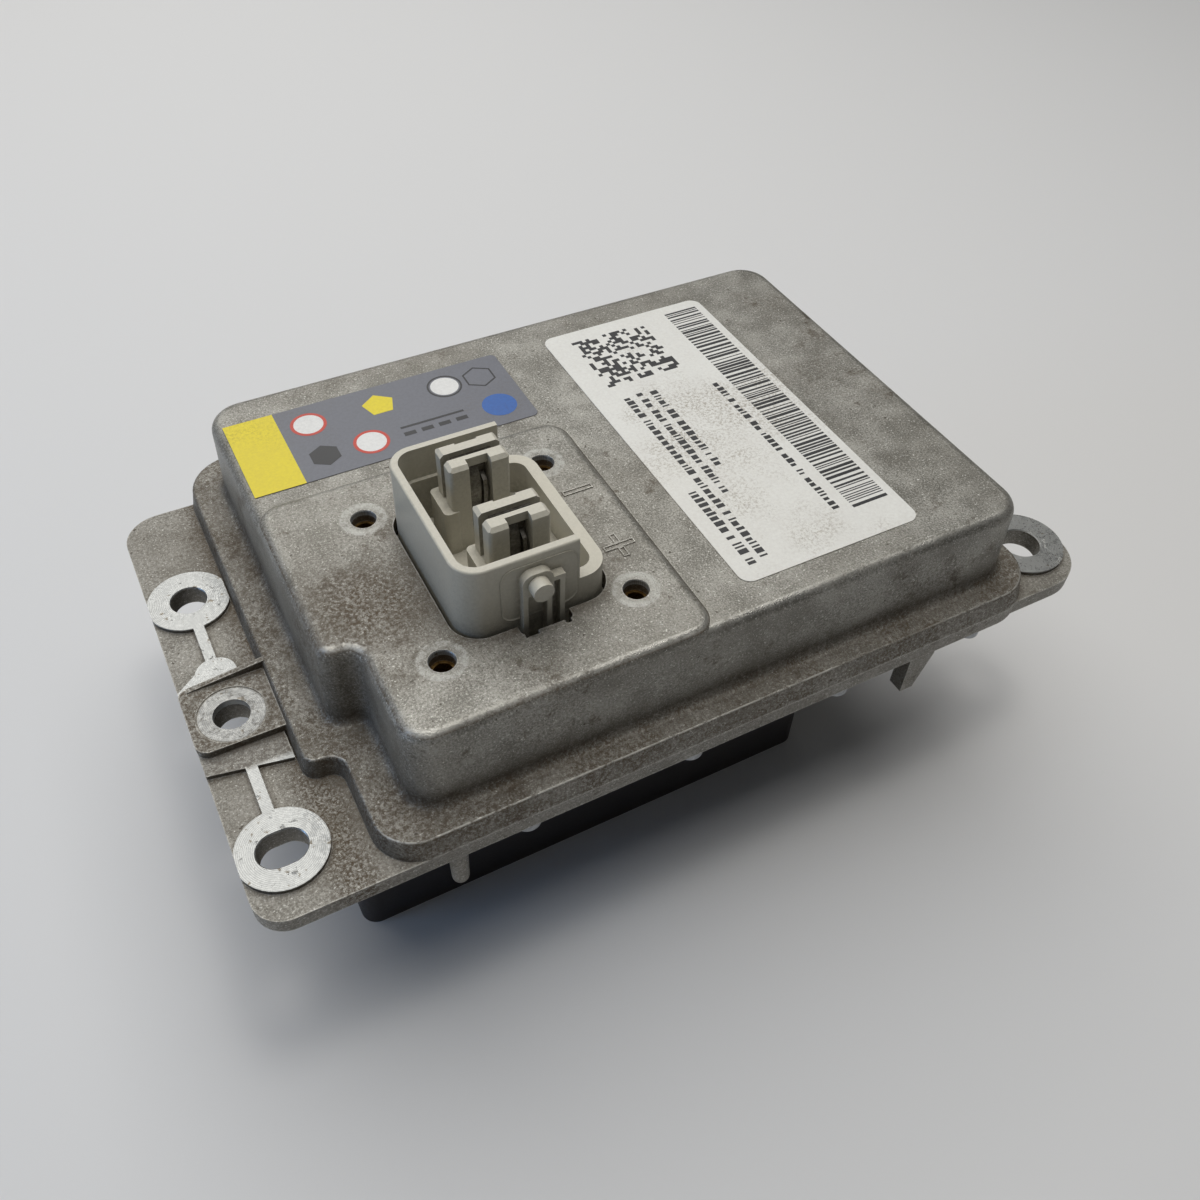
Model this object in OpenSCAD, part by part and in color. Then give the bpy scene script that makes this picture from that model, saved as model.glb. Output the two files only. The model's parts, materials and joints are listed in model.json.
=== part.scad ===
// Lithium car battery: a cast cover with a two-pole socket on a cast base plate, with a
// moulded case of four flat cells below and the control board in the cover. The origin is
// under the middle of the part, where it rests: X runs along the front edge, Y to the back.

/* [Base plate] */
// Thickness of the base plate
base_t = 4; // [3.5:0.1:5]
// Width of the bay for the control board, to the right of the cells
bay_w = 48.1; // [44:0.1:60]
// Depth of the plate in front of the cell case
front_margin = 21.8; // [21:0.1:26]
// Depth of the plate behind the cell case
back_margin = 13.4; // [13:0.1:18]
// Width of the mounting ears beyond the cover, left and right
ear_w = 18.15; // [17.8:0.05:22]
// Height of the machined pads round the mounting holes
pad_h = 1.1; // [0.6:0.1:1.6]
// Diameter of the machined pads on the left
pad_d = 19; // [16:0.5:20]
// Diameter of the round mounting hole on the left
mount_d = 8.3; // [6.5:0.1:9.5]
// Diameter of the hole in the cover's own lug
lug_hole_d = 8.1; // [6.5:0.1:9.5]
// Length of the slotted hole
slot_l = 10.5; // [9.6:0.1:12]
// Width of the slotted hole
slot_w = 8; // [6.6:0.1:9]
// Diameter of the mounting hole on the right
right_hole_d = 9.8; // [8:0.1:11]

/* [Cover] */
// Height of the cover above its flange
cover_h = 21; // [20:0.5:27]
// Thickness of the cover's flange
flange_t = 5.2; // [4.9:0.1:6.5]
// Wall thickness of the cover
wall = 2.8; // [2.4:0.1:3.2]
// Width of the flange in front of the cover's wall
flange_rim = 6.1; // [5.8:0.1:7]
// Rounding of the cover's upright corners
corner_r = 9; // [7:0.5:10]
// Rounding of the cover's top edge
edge_r = 3; // [2:0.1:3.1]
// Height of the raised platform round the socket
platform_h = 1.2; // [0.8:0.1:1.6]
// Width of the platform
platform_w = 78.6; // [76:0.1:84]
// Depth of the platform
platform_d = 78.1; // [75:0.1:80]
// Width of the notch in the front left corner
notch_w = 7.4; // [7:0.1:9]
// Depth of the notch in the front left corner
notch_d = 28; // [26:0.1:30]

/* [Socket] */
// Width of the socket's shroud
socket_w = 34; // [32:0.1:35]
// Depth of the socket's shroud
socket_d = 42; // [41:0.1:43]
// Height of the shroud above the platform
shroud_h = 17.8; // [16:0.1:22]
// Height of the low side of the shroud
low_side_h = 6.8; // [5:0.1:10]
// Wall thickness of the shroud
shroud_t = 2; // [1.6:0.1:2.2]
// Distance between the two contact towers
tower_pitch = 19.6; // [19:0.1:20.2]
// Width of a contact tower
tower_w = 13.5; // [12:0.1:14.5]
// Depth of a contact tower
tower_d = 8.8; // [8.4:0.1:9.4]
// Height of the towers above the platform
tower_h = 21.1; // [18:0.1:24]
// Spacing of the threaded inserts, left to right
insert_x = 44; // [43:0.1:48]
// Spacing of the threaded inserts, front to back
insert_y = 45.5; // [45:0.1:48]
// Diameter of the screw holes in the platform
insert_hole_d = 5.5; // [5.1:0.1:6.2]

/* [Cells] */
// Length of a cell
cell_l = 120; // [112:0.5:122]
// Height of a cell, which lies on its side
cell_h = 85; // [78:0.5:88]
// Thickness of a cell
cell_t = 12.5; // [11:0.1:14]
// Wall thickness of the cell case
case_wall = 2.4; // [2:0.1:2.8]

/* [Control board] */
// Width of the board
board_w = 70; // [60:0.5:73]
// Clearance between the board and the walls of the cover
board_gap = 4.5; // [3:0.1:8]
// Thickness of the board
board_t = 1.6; // [1:0.1:2.4]

/* [Labels] */
// Width of the white label
white_label_w = 48; // [40:0.5:60]
// Length of the white label
white_label_l = 100; // [90:0.5:104]
// Width of the grey label
grey_label_w = 71.4; // [66:0.1:74]
// Depth of the grey label
grey_label_l = 27.9; // [24:0.1:30]

/* [Hidden] */
$fn = 48;
cut = 1;

// heights, from the bottom of the case up
pad_gap = 0.6;
case_floor = 2;
stack_in_base = 1.6;
cell_step = cell_t + pad_gap;
cell_z0 = case_floor + pad_gap;
base_z = cell_z0 + 4 * cell_step - pad_gap - stack_in_base;
flange_z = base_z + base_t;
pad_z = flange_z + pad_h;
wall_z = flange_z + flange_t;
top_z = wall_z + cover_h;
platform_z = top_z + platform_h;
skin_z = top_z - wall;

// cells and their case: sizes
cell_gap = 0.6;
link_space = 8;
case_in = 3.7;
case_w = cell_l + 2 * (cell_gap + case_wall);
case_d = cell_h + cell_gap + link_space + 2 * case_wall;
case_inner_r = 1.6;
gasket_land = 1;
cell_pocket = stack_in_base + cell_gap;
case_r = case_wall + case_inner_r;
rim_w = 6;
rim_t = 3;
rib_t = 2.4;

// outlines of the base plate and of the cover
flange_w = case_in + case_w + bay_w;
half_w = flange_w / 2;
half_d = (front_margin + case_d + back_margin) / 2;
flange_slope = 0.2;
flange_edge_r = 0.8;
flange_in = flange_slope * (flange_t - flange_edge_r);
flange_r = corner_r + 4;
wall_x0 = -half_w + flange_in + flange_rim + 1.7;
wall_x1 = half_w - flange_in - flange_rim + 0.9;
wall_y0 = -half_d + flange_in + flange_rim + 0.1;
wall_y1 = half_d - flange_in - flange_rim + 0.5;
notch_r = 4.4;
notch_front_r = 7;
inner_notch_r = 3;
wall_slope = 0.035;
foot_r = 2.2;
inner_edge_r = 1;
plate_x0 = -half_w - ear_w;
plate_x1 = half_w + ear_w;
plate_back = 10;

// mounting holes and their pads
left_in = 9.1;
left_x = plate_x0 + left_in;
right_in = 10.7;
right_x = plate_x1 - right_in;
slot_y = -half_d + 15.1;
lug_from_front = 50.5;
lug_y = -half_d + lug_from_front;
back_hole_from_front = 89.5;
back_hole_y = -half_d + back_hole_from_front;
right_y = -half_d + 16;
lug_pad_front = 12.2;
lug_pad_back = 14.2;
lug_pad_r = 4.6;
lug_t = 1.9;
lug_z = pad_z + lug_t;
spot_d = 15;
spot_t = 0.2;
neck_w = 2.4;
ear_r = 12;
right_pad_r = right_in;
pad_room = 0.2;
bevel = 0.2;

// socket, its seal and the screw pattern round it
socket_from_left = 44.8;
socket_from_front = 40.7;
socket_x = wall_x0 + socket_from_left;
socket_y = wall_y0 + socket_from_front;
socket_r = 6;
socket_gap = 0.8;
socket_floor = platform_z - 2;
socket_ledge = platform_z + 9.7;
ledge_w = 0.9;
high_side = 9.2;
shroud_slope = 0.012;
socket_rim_t = 2.5;
socket_rim_w = 2.8;
bulge_left = 4.6;
bulge_right = 5.5;
bulge_out = 2.5;
column_out = 1.8;
column_x = [-4.4, 2.4];
column_up = [8.8, 14.6];
column_r = 2.4;
peg_x = -1.05;
peg_up = 11.6;
peg_d = 4.5;
peg_out = 2.8;
front_rib_x = [-4.4, 0.9, 3.8];
front_rib_t = 1.1;
front_rib_up = 11;
front_shelf_x = [2.3, 5];
front_shelf_up = [10.9, 12.1];
front_relief_x = [[-5, -1.9], [4.1, 5.5]];
front_relief_out = 1.8;
rim_room = 0.2;
seat_x = socket_w / 2 + socket_rim_w + rim_room;
seat_y = socket_d / 2 + socket_rim_w + rim_room;
seal_w = 2.4;
seal_t = 1.2;
shroud_z = platform_z + shroud_h;
tower_z = platform_z + tower_h;
tower_x = socket_x - 0.6;
tower_slot = 2;
pedestal_w = 1.9;
pedestal_lap = 0.3;
tower_r = 0.9;
tower_top_in = 0.8;
window_w = 5;
blade_t = 0.6;
boss_d = 9.5;
insert_d = 6.8;
insert_bore_d = 4.2;
insert_l = 7;
insert_top = platform_z - 3.2;

// cells and their case: places
case_x0 = -half_w + case_in;
case_y0 = -half_d + front_margin;
case_x1 = case_x0 + case_w;
case_y1 = case_y0 + case_d;
cell_x0 = case_x0 + case_wall + cell_gap;
cell_y0 = case_y0 + case_wall + cell_gap;
cell_x = cell_x0 + cell_l / 2;
cell_x1 = cell_x0 + cell_l;
cell_y1 = cell_y0 + cell_h;
terminal_in = 22;
terminal_x0 = cell_x0 + terminal_in;
terminal_x1 = cell_x1 - terminal_in;
terminal_w = 12;
terminal_t = 8;
terminal_h = 3;
link_y = cell_y1 + terminal_h;
link_t = 1.2;
frame_t = 2;

// board, bars and screws
board_x1 = wall_x1 - wall - board_gap;
board_x0 = board_x1 - board_w;
board_y0 = wall_y0 + wall + board_gap;
board_y1 = wall_y1 - wall - board_gap;
board_y = (board_y0 + board_y1) / 2;
board_top = skin_z - 8;
board_z = board_top - board_t;
board_r = 3;
hole_in = 5;
board_boss_d = 8;
bar_t = 1.5;
bar_w = 8;
riser_w = 6.8;
riser_x = terminal_x0 - 15;
shunt_y0 = link_y - 38;
shunt_y1 = link_y - 26;
heat_pad_t = 1;
transistor_h = 4.4;
transistor_x = board_x1 - 13;
transistor_count = 6;
transistor_pitch = (board_y1 - board_y0 - 35) / (transistor_count - 1);
flex_x = terminal_x1 - 1.8;
flex_w = 8;
flex_t = 0.4;
flex_z = board_z - 5;
screw_d = 4;
head_d = 6.4;
head_h = 2.6;
thread_in = 4;
small_d = 3;
small_head_d = 5.4;
small_head_h = 2.2;
screw_clearance = 0.4;
flange_screw_x0 = -half_w + 38.9;
flange_screw_x1 = half_w - 18.9;
flange_screw_y0 = wall_y0 - 3.4;
flange_screw_y1 = wall_y1 + 3.2;
side_screw_x = wall_x1 + 2.5;
ring_w = 1.8;
ring_t = 1.4;
vent_x = half_w - 22.9;
vent_y = 18;
vent_d = 10;
stub_in = 22.7;
wedge_in = 37;
label_t = 0.15;

function cell_z(i) = cell_z0 + i * cell_step;

function cover_screw_places() = concat(
  [for (i = [0:3], y = [flange_screw_y0, flange_screw_y1])
    [flange_screw_x0 + i * (flange_screw_x1 - flange_screw_x0) / 3, y]],
  [for (s = [-1, 1]) [side_screw_x, s * half_d * 0.4]]);

function board_screw_places() = [for (x = [board_x0 + hole_in, board_x1 - hole_in],
  y = [board_y0 + hole_in, board_y1 - hole_in]) [x, y]];

function case_screw_places() = concat(
  [for (x = [case_x0 + 12, (case_x0 + case_x1) / 2, case_x1 - 12],
    y = [case_y0 - rim_w / 2, case_y1 + rim_w / 2]) [x, y]],
  [for (x = [case_x0 - rim_w / 2, case_x1 + rim_w / 2]) [x, (case_y0 + case_y1) / 2]]);

function insert_places() = [for (x = [-0.5, 0.5], y = [-0.5, 0.5])
  [socket_x - 0.5 + x * insert_x, socket_y - 0.5 + y * insert_y]];

// corner points of the cover's outline with the notch, anticlockwise from the notch's front
function notched(x0, y0, x1, y1, w, d) =
  [[x0 + w, y0], [x1, y0], [x1, y1], [x0, y1], [x0, y0 + d], [x0 + w, y0 + d]];

function wall_points(inset) = notched(wall_x0 + inset, wall_y0 + inset,
  wall_x1 - inset, wall_y1 - inset, notch_w + 0.4, notch_d);

function wall_radii(inset) = [max(notch_front_r - inset, 2), corner_r - inset,
  corner_r - inset, corner_r - inset, max(notch_r - inset, 2), inner_notch_r];

// rounded rectangle from corner to corner, radii anticlockwise from the front left
module rounded(x0, y0, x1, y1, r) {
  union() {
    polygon([[x0 + r[0], y0], [x1 - r[1], y0], [x1, y0 + r[1]], [x1, y1 - r[2]],
      [x1 - r[2], y1], [x0 + r[3], y1], [x0, y1 - r[3]], [x0, y0 + r[0]]]);
    if (r[0] > 0) translate([x0 + r[0], y0 + r[0]]) circle(r = r[0]);
    if (r[1] > 0) translate([x1 - r[1], y0 + r[1]]) circle(r = r[1]);
    if (r[2] > 0) translate([x1 - r[2], y1 - r[2]]) circle(r = r[2]);
    if (r[3] > 0) translate([x0 + r[3], y1 - r[3]]) circle(r = r[3]);
  }
}

// slab with upright sides and one corner rounding
module slab(x0, y0, x1, y1, z0, z1, r = 0) {
  translate([0, 0, z0]) linear_extrude(z1 - z0) rounded(x0, y0, x1, y1, [r, r, r, r]);
}

// plain block from its lowest to its highest corner
module block(a, b) {
  translate(a) cube([b[0] - a[0], b[1] - a[1], b[2] - a[2]]);
}

// upright round post
module post(x, y, z0, z1, d) {
  translate([x, y, z0]) cylinder(h = z1 - z0, d = d);
}

// half section of a cast wall: sloped side, rounded top edge, hollow fillet at the foot
module wall_section(r, h, slope, edge, foot) {
  top_r = r - slope * (h - edge);
  union() {
    polygon([[0, 0], [r, 0], [top_r, h - edge], [top_r - edge, h - edge],
      [top_r - edge, h], [0, h]]);
    translate([top_r - edge, h - edge]) intersection() {
      circle(r = edge);
      square(edge + cut);
    }
    if (foot > 0) difference() {
      translate([r - slope * foot - 0.2, 0]) square([foot + 0.2, foot]);
      translate([r - slope * foot + foot, foot]) circle(r = foot);
    }
  }
}

// outline with straight sides and square turns, drawn with that section all round
module cast_shape(points, radii, z0, h, slope, edge, foot = 0) {
  n = len(points);
  m = max(radii) + 0.5;
  for (i = [0:n - 1]) {
    p = points[i];
    q = points[(i + 1) % n];
    o = points[(i + n - 1) % n];
    along = (q - p) / norm(q - p);
    before = (p - o) / norm(p - o);
    side = atan2(-along[0], along[1]);
    turn = before[0] * along[1] - before[1] * along[0];
    centre = p - before * radii[i] + along * radii[i];
    away = [along[1], -along[0]];
    end = q - along * radii[(i + 1) % n] - away * m;
    translate([end[0], end[1], z0]) rotate([90, 0, side])
      linear_extrude(norm(q - p) - radii[i] - radii[(i + 1) % n])
        wall_section(m, h, slope, edge, foot);
    if (turn > 0)
      translate([centre[0], centre[1], z0]) rotate([0, 0, side - 90])
        rotate_extrude(angle = 90) wall_section(radii[i], h, slope, edge, foot);
    if (turn < 0)
      translate([centre[0], centre[1], z0]) rotate([0, 0, side + 180])
        rotate_extrude(angle = 90) translate([(radii[i] + m) * 1.5, 0]) mirror([1, 0])
          wall_section((radii[i] + m) * 1.5 - radii[i], h, slope, edge, foot);
  }
}

// cover outline filled in: the cast shape with its middle
module cast_cover_block(points, radii, z0, h, slope, edge, foot = 0) {
  m = max(radii);
  union() {
    cast_shape(points, radii, z0, h, slope, edge, foot);
    for (x = [points[0], [points[3][0], points[5][1]]])
      block([x[0] + m, x[1] + m, z0], [points[2][0] - m, points[2][1] - m, z0 + h]);
  }
}

// plain rectangle of a cast shape
module cast_block(x0, y0, x1, y1, r, z0, h, slope, edge, foot = 0) {
  union() {
    cast_shape([[x0, y0], [x1, y0], [x1, y1], [x0, y1]], r, z0, h, slope, edge, foot);
    block([x0 + max(r), y0 + max(r), z0], [x1 - max(r), y1 - max(r), z0 + h]);
  }
}

// flat ring that follows the cover's wall
module wall_outline(inset) {
  p = wall_points(inset);
  r = wall_radii(inset);
  union() {
    rounded(p[0][0], p[0][1], p[2][0], p[2][1], [r[0], r[1], r[2], r[3]]);
    rounded(p[3][0], p[4][1], 0, p[2][1], [r[4], 0, 0, r[3]]);
    translate([p[5][0] - r[5], p[5][1] - r[5]]) difference() {
      square(r[5] + 0.5);
      circle(r = r[5]);
    }
  }
}

module base_outline() {
  union() {
    rounded(-half_w, -half_d, half_w, half_d, [flange_r, flange_r, flange_r, flange_r]);
    rounded(plate_x0, -half_d, -half_w / 2, half_d - plate_back, [7, 0, 0, 9]);
    rounded(half_w / 2, -half_d + 1.2, plate_x1, right_y + right_pad_r,
      [0, ear_r, right_pad_r, 0]);
    translate([half_w - 1, right_y + right_pad_r - 1]) difference() {
      square(6);
      translate([6, 6]) circle(r = 5);
    }
  }
}

module slot_shape(l, w) {
  union() {
    square([l - w, w], center = true);
    for (s = [-0.5, 0.5]) translate([s * (l - w), 0]) circle(d = w);
  }
}

// machined pads round the mounting holes, and the narrow webs that join them
module plate_opening() {
  intersection() {
    rounded(case_x0 + case_wall, case_y0 + case_wall, case_x1 - case_wall,
      case_y1 - case_wall, [case_inner_r, case_inner_r, case_inner_r, case_inner_r]);
    wall_outline(ring_w + gasket_land);
  }
}

module base_pads() {
  foot = notched(-half_w - pad_room, -half_d - pad_room, half_w + pad_room, half_d + pad_room,
    notch_w, notch_d);
  translate([0, 0, flange_z - cut]) linear_extrude(pad_h + cut) difference() {
    pads_outline();
    polygon(foot);
  }
}

module pads_outline() {
  intersection() {
    base_outline();
    union() {
      for (y = [back_hole_y, slot_y]) translate([left_x, y]) circle(d = pad_d);
      translate([right_x, right_y]) circle(r = right_pad_r);
      translate([left_x, lug_y + lug_pad_back]) circle(r = lug_pad_r);
      polygon([[plate_x0, lug_y - lug_pad_front], [-half_w, lug_y - lug_pad_front - 3.4],
        [-half_w, lug_y + 8], [left_x - lug_pad_r * 0.6, lug_y + lug_pad_back + 2.8],
        [plate_x0, lug_y + 12]]);
      translate([left_x - neck_w / 2, slot_y]) square([neck_w, back_hole_y - slot_y]);
    }
  }
}

// stub with a round end and wedge that hang under the front edge
module base_stubs() {
  translate([-half_w + stub_in, -half_d + 2.3, base_z - 10.5]) union() {
    cylinder(h = 10.5 + cut, d1 = 3.8, d2 = 4.4);
    sphere(d = 3.8);
  }
  translate([half_w - wedge_in, -half_d + 4.2, base_z + cut]) rotate([90, 0, 0])
    linear_extrude(4) polygon([[-2.4, 0], [4.9, 0], [4.9, -2], [1.3, -13], [-2.4, -13]]);
}

// stiffening ribs under the control bay
module base_ribs() {
  x0 = case_x1 + rim_w + 1;
  x1 = half_w - 11;
  y0 = case_y0 + 5;
  y1 = case_y1 - 9.4;
  for (y = [y0, vent_y - 26, y1])
    block([x0, y - rib_t / 2, base_z - 5], [x1, y + rib_t / 2, base_z + cut]);
  block([x1 - rib_t, y0, base_z - 5], [x1, y1, base_z + cut]);
}

// bore with a bevelled mouth at the top
module bevelled_bore(x, y, z0, z1, d) {
  post(x, y, z0 - cut, z1 + cut, d);
  translate([x, y, z1 - bevel]) cylinder(h = bevel + cut, d1 = d, d2 = d + 2 * (bevel + cut));
}

// cast plate with its mounting pads, ribs and stubs
module base_plate() {
  color("Silver") difference() {
    union() {
      translate([0, 0, base_z]) linear_extrude(base_t) base_outline();
      base_pads();
      base_stubs();
      base_ribs();
    }
    slab(case_x0 + case_wall, case_y0 + case_wall, case_x1 - case_wall,
      case_y1 - case_wall, base_z - cut, base_z + cell_pocket, case_inner_r);
    translate([0, 0, base_z]) linear_extrude(base_t + cut) plate_opening();
    bevelled_bore(left_x, back_hole_y, base_z, pad_z, mount_d);
    post(left_x, lug_y, base_z - cut, pad_z + cut, lug_hole_d + screw_clearance);
    bevelled_bore(right_x, right_y, base_z, pad_z, right_hole_d);
    translate([left_x, slot_y, base_z - cut]) linear_extrude(base_t + pad_h + 2 * cut)
      slot_shape(slot_l, slot_w);
    slot_bevel();
    for (p = cover_screw_places())
      post(p[0], p[1], base_z - cut, flange_z + cut, screw_d + screw_clearance);
    for (p = case_screw_places()) post(p[0], p[1], base_z - cut, base_z + base_t - 0.8, small_d);
    post(vent_x, vent_y, base_z - cut, flange_z + cut, vent_d);
  }
}

// bevelled rim of the slotted hole
module slot_bevel() {
  half = slot_w / 2;
  run = slot_l - slot_w;
  wide = half + bevel + cut;
  translate([left_x, slot_y, pad_z - bevel]) union() {
    translate([-run / 2, 0, 0]) rotate([90, 0, 90]) linear_extrude(run)
      polygon([[-half, 0], [half, 0], [wide, bevel + cut], [-wide, bevel + cut]]);
    for (s = [-0.5, 0.5]) translate([s * run, 0, 0])
      cylinder(h = bevel + cut, r1 = half, r2 = wide);
  }
}

// lug that the cover carries on its left, over the middle pad of the base plate
module cover_lug() {
  y0 = lug_y - 8;
  y1 = lug_y + 10.7;
  difference() {
    union() {
      translate([0, 0, pad_z]) linear_extrude(lug_t)
        rounded(plate_x0 - 0.1, y0, -half_w + 4, y1, [3, 0, 0, 2]);
      translate([0, y1, 0]) rotate([90, 0, 0]) linear_extrude(1.2)
        polygon([[plate_x0 + 1.9, lug_z - 0.5], [-half_w + 3, lug_z - 0.5],
          [-half_w + 3, wall_z], [-half_w + 1, wall_z], [plate_x0 + 1.9, lug_z + 0.3]]);
    }
    post(left_x, lug_y, pad_z - cut, wall_z + cut, lug_hole_d);
    post(left_x, lug_y, lug_z - spot_t, wall_z + cut, spot_d);
  }
}

module cover_shell() {
  cavity_h = skin_z - flange_z;
  foot = notched(-half_w, -half_d, half_w, half_d, notch_w, notch_d);
  platform = [[wall_points(0)[0][0], wall_y0], [wall_x0 + platform_w, wall_y0],
    [wall_x0 + platform_w, wall_y0 + platform_d], [wall_x0, wall_y0 + platform_d],
    wall_points(0)[4], wall_points(0)[5]];
  difference() {
    union() {
      cast_cover_block(foot, [10, flange_r, flange_r, flange_r, notch_r - 0.6, inner_notch_r],
        flange_z, flange_t, flange_slope, flange_edge_r);
      cast_cover_block(wall_points(0), wall_radii(0), wall_z, cover_h, wall_slope,
        edge_r, foot_r);
      cast_cover_block(platform, [notch_front_r, 7, 7, 7, notch_r, inner_notch_r],
        wall_z, cover_h + platform_h, wall_slope, edge_r);
    }
    cast_cover_block(wall_points(wall), wall_radii(wall), flange_z - cut, cavity_h + cut,
      wall_slope, inner_edge_r);
  }
}

// cast cover with its bosses, its socket cut-out and its own lug
module top_cover() {
  color("Silver") difference() {
    union() {
      cover_shell();
      cover_lug();
      difference() {
        for (p = insert_places())
          post(p[0], p[1], insert_top - insert_l, skin_z + cut, boss_d);
        slab(socket_x - seat_x, socket_y - seat_y, socket_x + seat_x, socket_y + seat_y,
          insert_top - insert_l - cut, skin_z, socket_r + socket_rim_w + rim_room);
      }
      for (p = board_screw_places()) post(p[0], p[1], board_top, skin_z + cut, board_boss_d);
      slab(transistor_x - 7, board_y0 + 8, transistor_x + 7, board_y1 - 8,
        board_top + transistor_h + heat_pad_t, skin_z + cut, 3);
    }
    translate([0, 0, skin_z - cut]) linear_extrude(platform_z - skin_z + 2 * cut)
      socket_outline(socket_gap);
    for (x = front_relief_x)
      block([socket_x + x[0], socket_y - socket_d / 2 - bulge_out - front_relief_out,
        skin_z - cut],
        [socket_x + x[1], socket_y - socket_d / 2, platform_z + cut]);
    for (p = insert_places()) {
      bevelled_bore(p[0], p[1], insert_top, platform_z, insert_hole_d);
      post(p[0], p[1], insert_top - insert_l - cut, insert_top, insert_d);
    }
    for (p = board_screw_places()) post(p[0], p[1], board_top - cut, board_top + 6, small_d);
    for (p = cover_screw_places()) post(p[0], p[1], flange_z - cut, flange_z + thread_in, screw_d);
    translate([0, 0, flange_z - cut]) linear_extrude(ring_t + cut) difference() {
      wall_outline(0);
      wall_outline(ring_w);
    }
  }
}

module cover_gasket() {
  color("DimGray") translate([0, 0, flange_z]) linear_extrude(ring_t) difference() {
    wall_outline(0);
    wall_outline(ring_w);
  }
}

// moulded case that holds the cells
module cell_case() {
  color("Black") difference() {
    union() {
      slab(case_x0, case_y0, case_x1, case_y1, 0, base_z, case_r);
      slab(case_x0 - rim_w, case_y0 - rim_w, case_x1 + rim_w, case_y1 + rim_w,
        base_z - rim_t, base_z, case_r + rim_w);
      for (x = [case_x0 + 34, case_x1 - 34])
        block([x - rib_t / 2, case_y0 - rim_w + 1, base_z - 9],
          [x + rib_t / 2, case_y1 + rim_w - 1, base_z - 1]);
    }
    slab(case_x0 + case_wall, case_y0 + case_wall, case_x1 - case_wall,
      case_y1 - case_wall, case_floor, base_z + cut, case_inner_r);
    for (p = case_screw_places())
      post(p[0], p[1], base_z - rim_t - cut, base_z + cut, small_d + screw_clearance);
    case_ring(cut);
  }
}

module case_ring(extra) {
  difference() {
    slab(case_x0 - 0.6, case_y0 - 0.6, case_x1 + 0.6, case_y1 + 0.6, base_z - ring_t,
      base_z + extra, case_r + 0.6);
    slab(case_x0 + 1.2, case_y0 + 1.2, case_x1 - 1.2, case_y1 - 1.2, base_z - ring_t - cut,
      base_z + extra + cut, case_r - 1.2);
  }
}

module case_seal() {
  color("DimGray") case_ring(0);
}

// side of a tower with its two upper edges taken off
module tower_side(width, length) {
  translate([0, 0, -length / 2]) linear_extrude(length)
    polygon([[-width / 2, socket_floor - cut], [width / 2, socket_floor - cut],
      [width / 2, tower_z - tower_top_in], [width / 2 - tower_top_in, tower_z],
      [-width / 2 + tower_top_in, tower_z], [-width / 2, tower_z - tower_top_in]]);
}

// one contact tower: two halves with the contact's slot between them
module tower(y) {
  x0 = tower_x - tower_w / 2;
  window_x0 = tower_x - window_w / 2;
  window_x1 = tower_x + window_w / 2;
  difference() {
    intersection() {
      slab(x0, y - tower_d / 2, x0 + tower_w, y + tower_d / 2, socket_floor - cut, tower_z,
        tower_r);
      translate([tower_x, y, 0]) rotate([90, 0, 90]) tower_side(tower_d, tower_w + cut);
      translate([tower_x, y, 0]) rotate([90, 0, 0]) tower_side(tower_w, tower_d + cut);
    }
    block([x0 - cut, y - tower_slot / 2, socket_floor], [x0 + tower_w + cut,
      y + tower_slot / 2, tower_z + cut]);
    block([window_x0, y - tower_d / 2 - cut, socket_floor + 3], [window_x1, y, tower_z - 2.2]);
    block([window_x0, y - tower_d / 2 - cut, tower_z - 2.3],
      [window_x1, y - tower_slot / 2 - 1.2, tower_z + cut]);
    block([window_x0, y + tower_d / 2 - 1.2, socket_floor + 3],
      [window_x1, y + tower_d / 2 + cut, tower_z + cut]);
  }
}

// pedestal that a tower stands in on its left
module pedestal(y) {
  x1 = tower_x - tower_w / 2;
  slab(x1 - pedestal_w, y - tower_d / 2 - pedestal_lap, x1 + pedestal_w,
    y + tower_d / 2 + pedestal_lap, socket_floor - cut, socket_ledge, 1.2);
}

// latch head with its peg, ribs and stop on the front of the shroud
module shroud_front() {
  y = socket_y - socket_d / 2 + 0.5;
  face = y - 0.5 - column_out;
  translate([0, y, 0]) rotate([90, 0, 0]) linear_extrude(y - face)
    rounded(socket_x + column_x[0], platform_z + column_up[0], socket_x + column_x[1],
      platform_z + column_up[1], [0, 0, column_r, column_r]);
  translate([socket_x + peg_x, y, platform_z + peg_up]) rotate([90, 0, 0])
    cylinder(h = y - face + peg_out, d = peg_d);
  for (x = front_rib_x)
    block([socket_x + x, face, skin_z - seal_t - cut],
      [socket_x + x + front_rib_t, y, platform_z + front_rib_up]);
  block([socket_x + front_shelf_x[0], face, platform_z + front_shelf_up[0]],
    [socket_x + front_shelf_x[1], y, platform_z + front_shelf_up[1]]);
}

// outline of the shroud with the bulge in front that makes room for the latch head
module socket_outline(extra) {
  x = socket_w / 2 + extra;
  y = socket_d / 2 + extra;
  r = socket_r + extra;
  union() {
    rounded(socket_x - x, socket_y - y, socket_x + x, socket_y + y, [r, r, r, r]);
    rounded(socket_x - bulge_left - extra, socket_y - y - bulge_out,
      socket_x + bulge_right + extra, socket_y, [1, 1, 0, 0]);
  }
}

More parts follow.
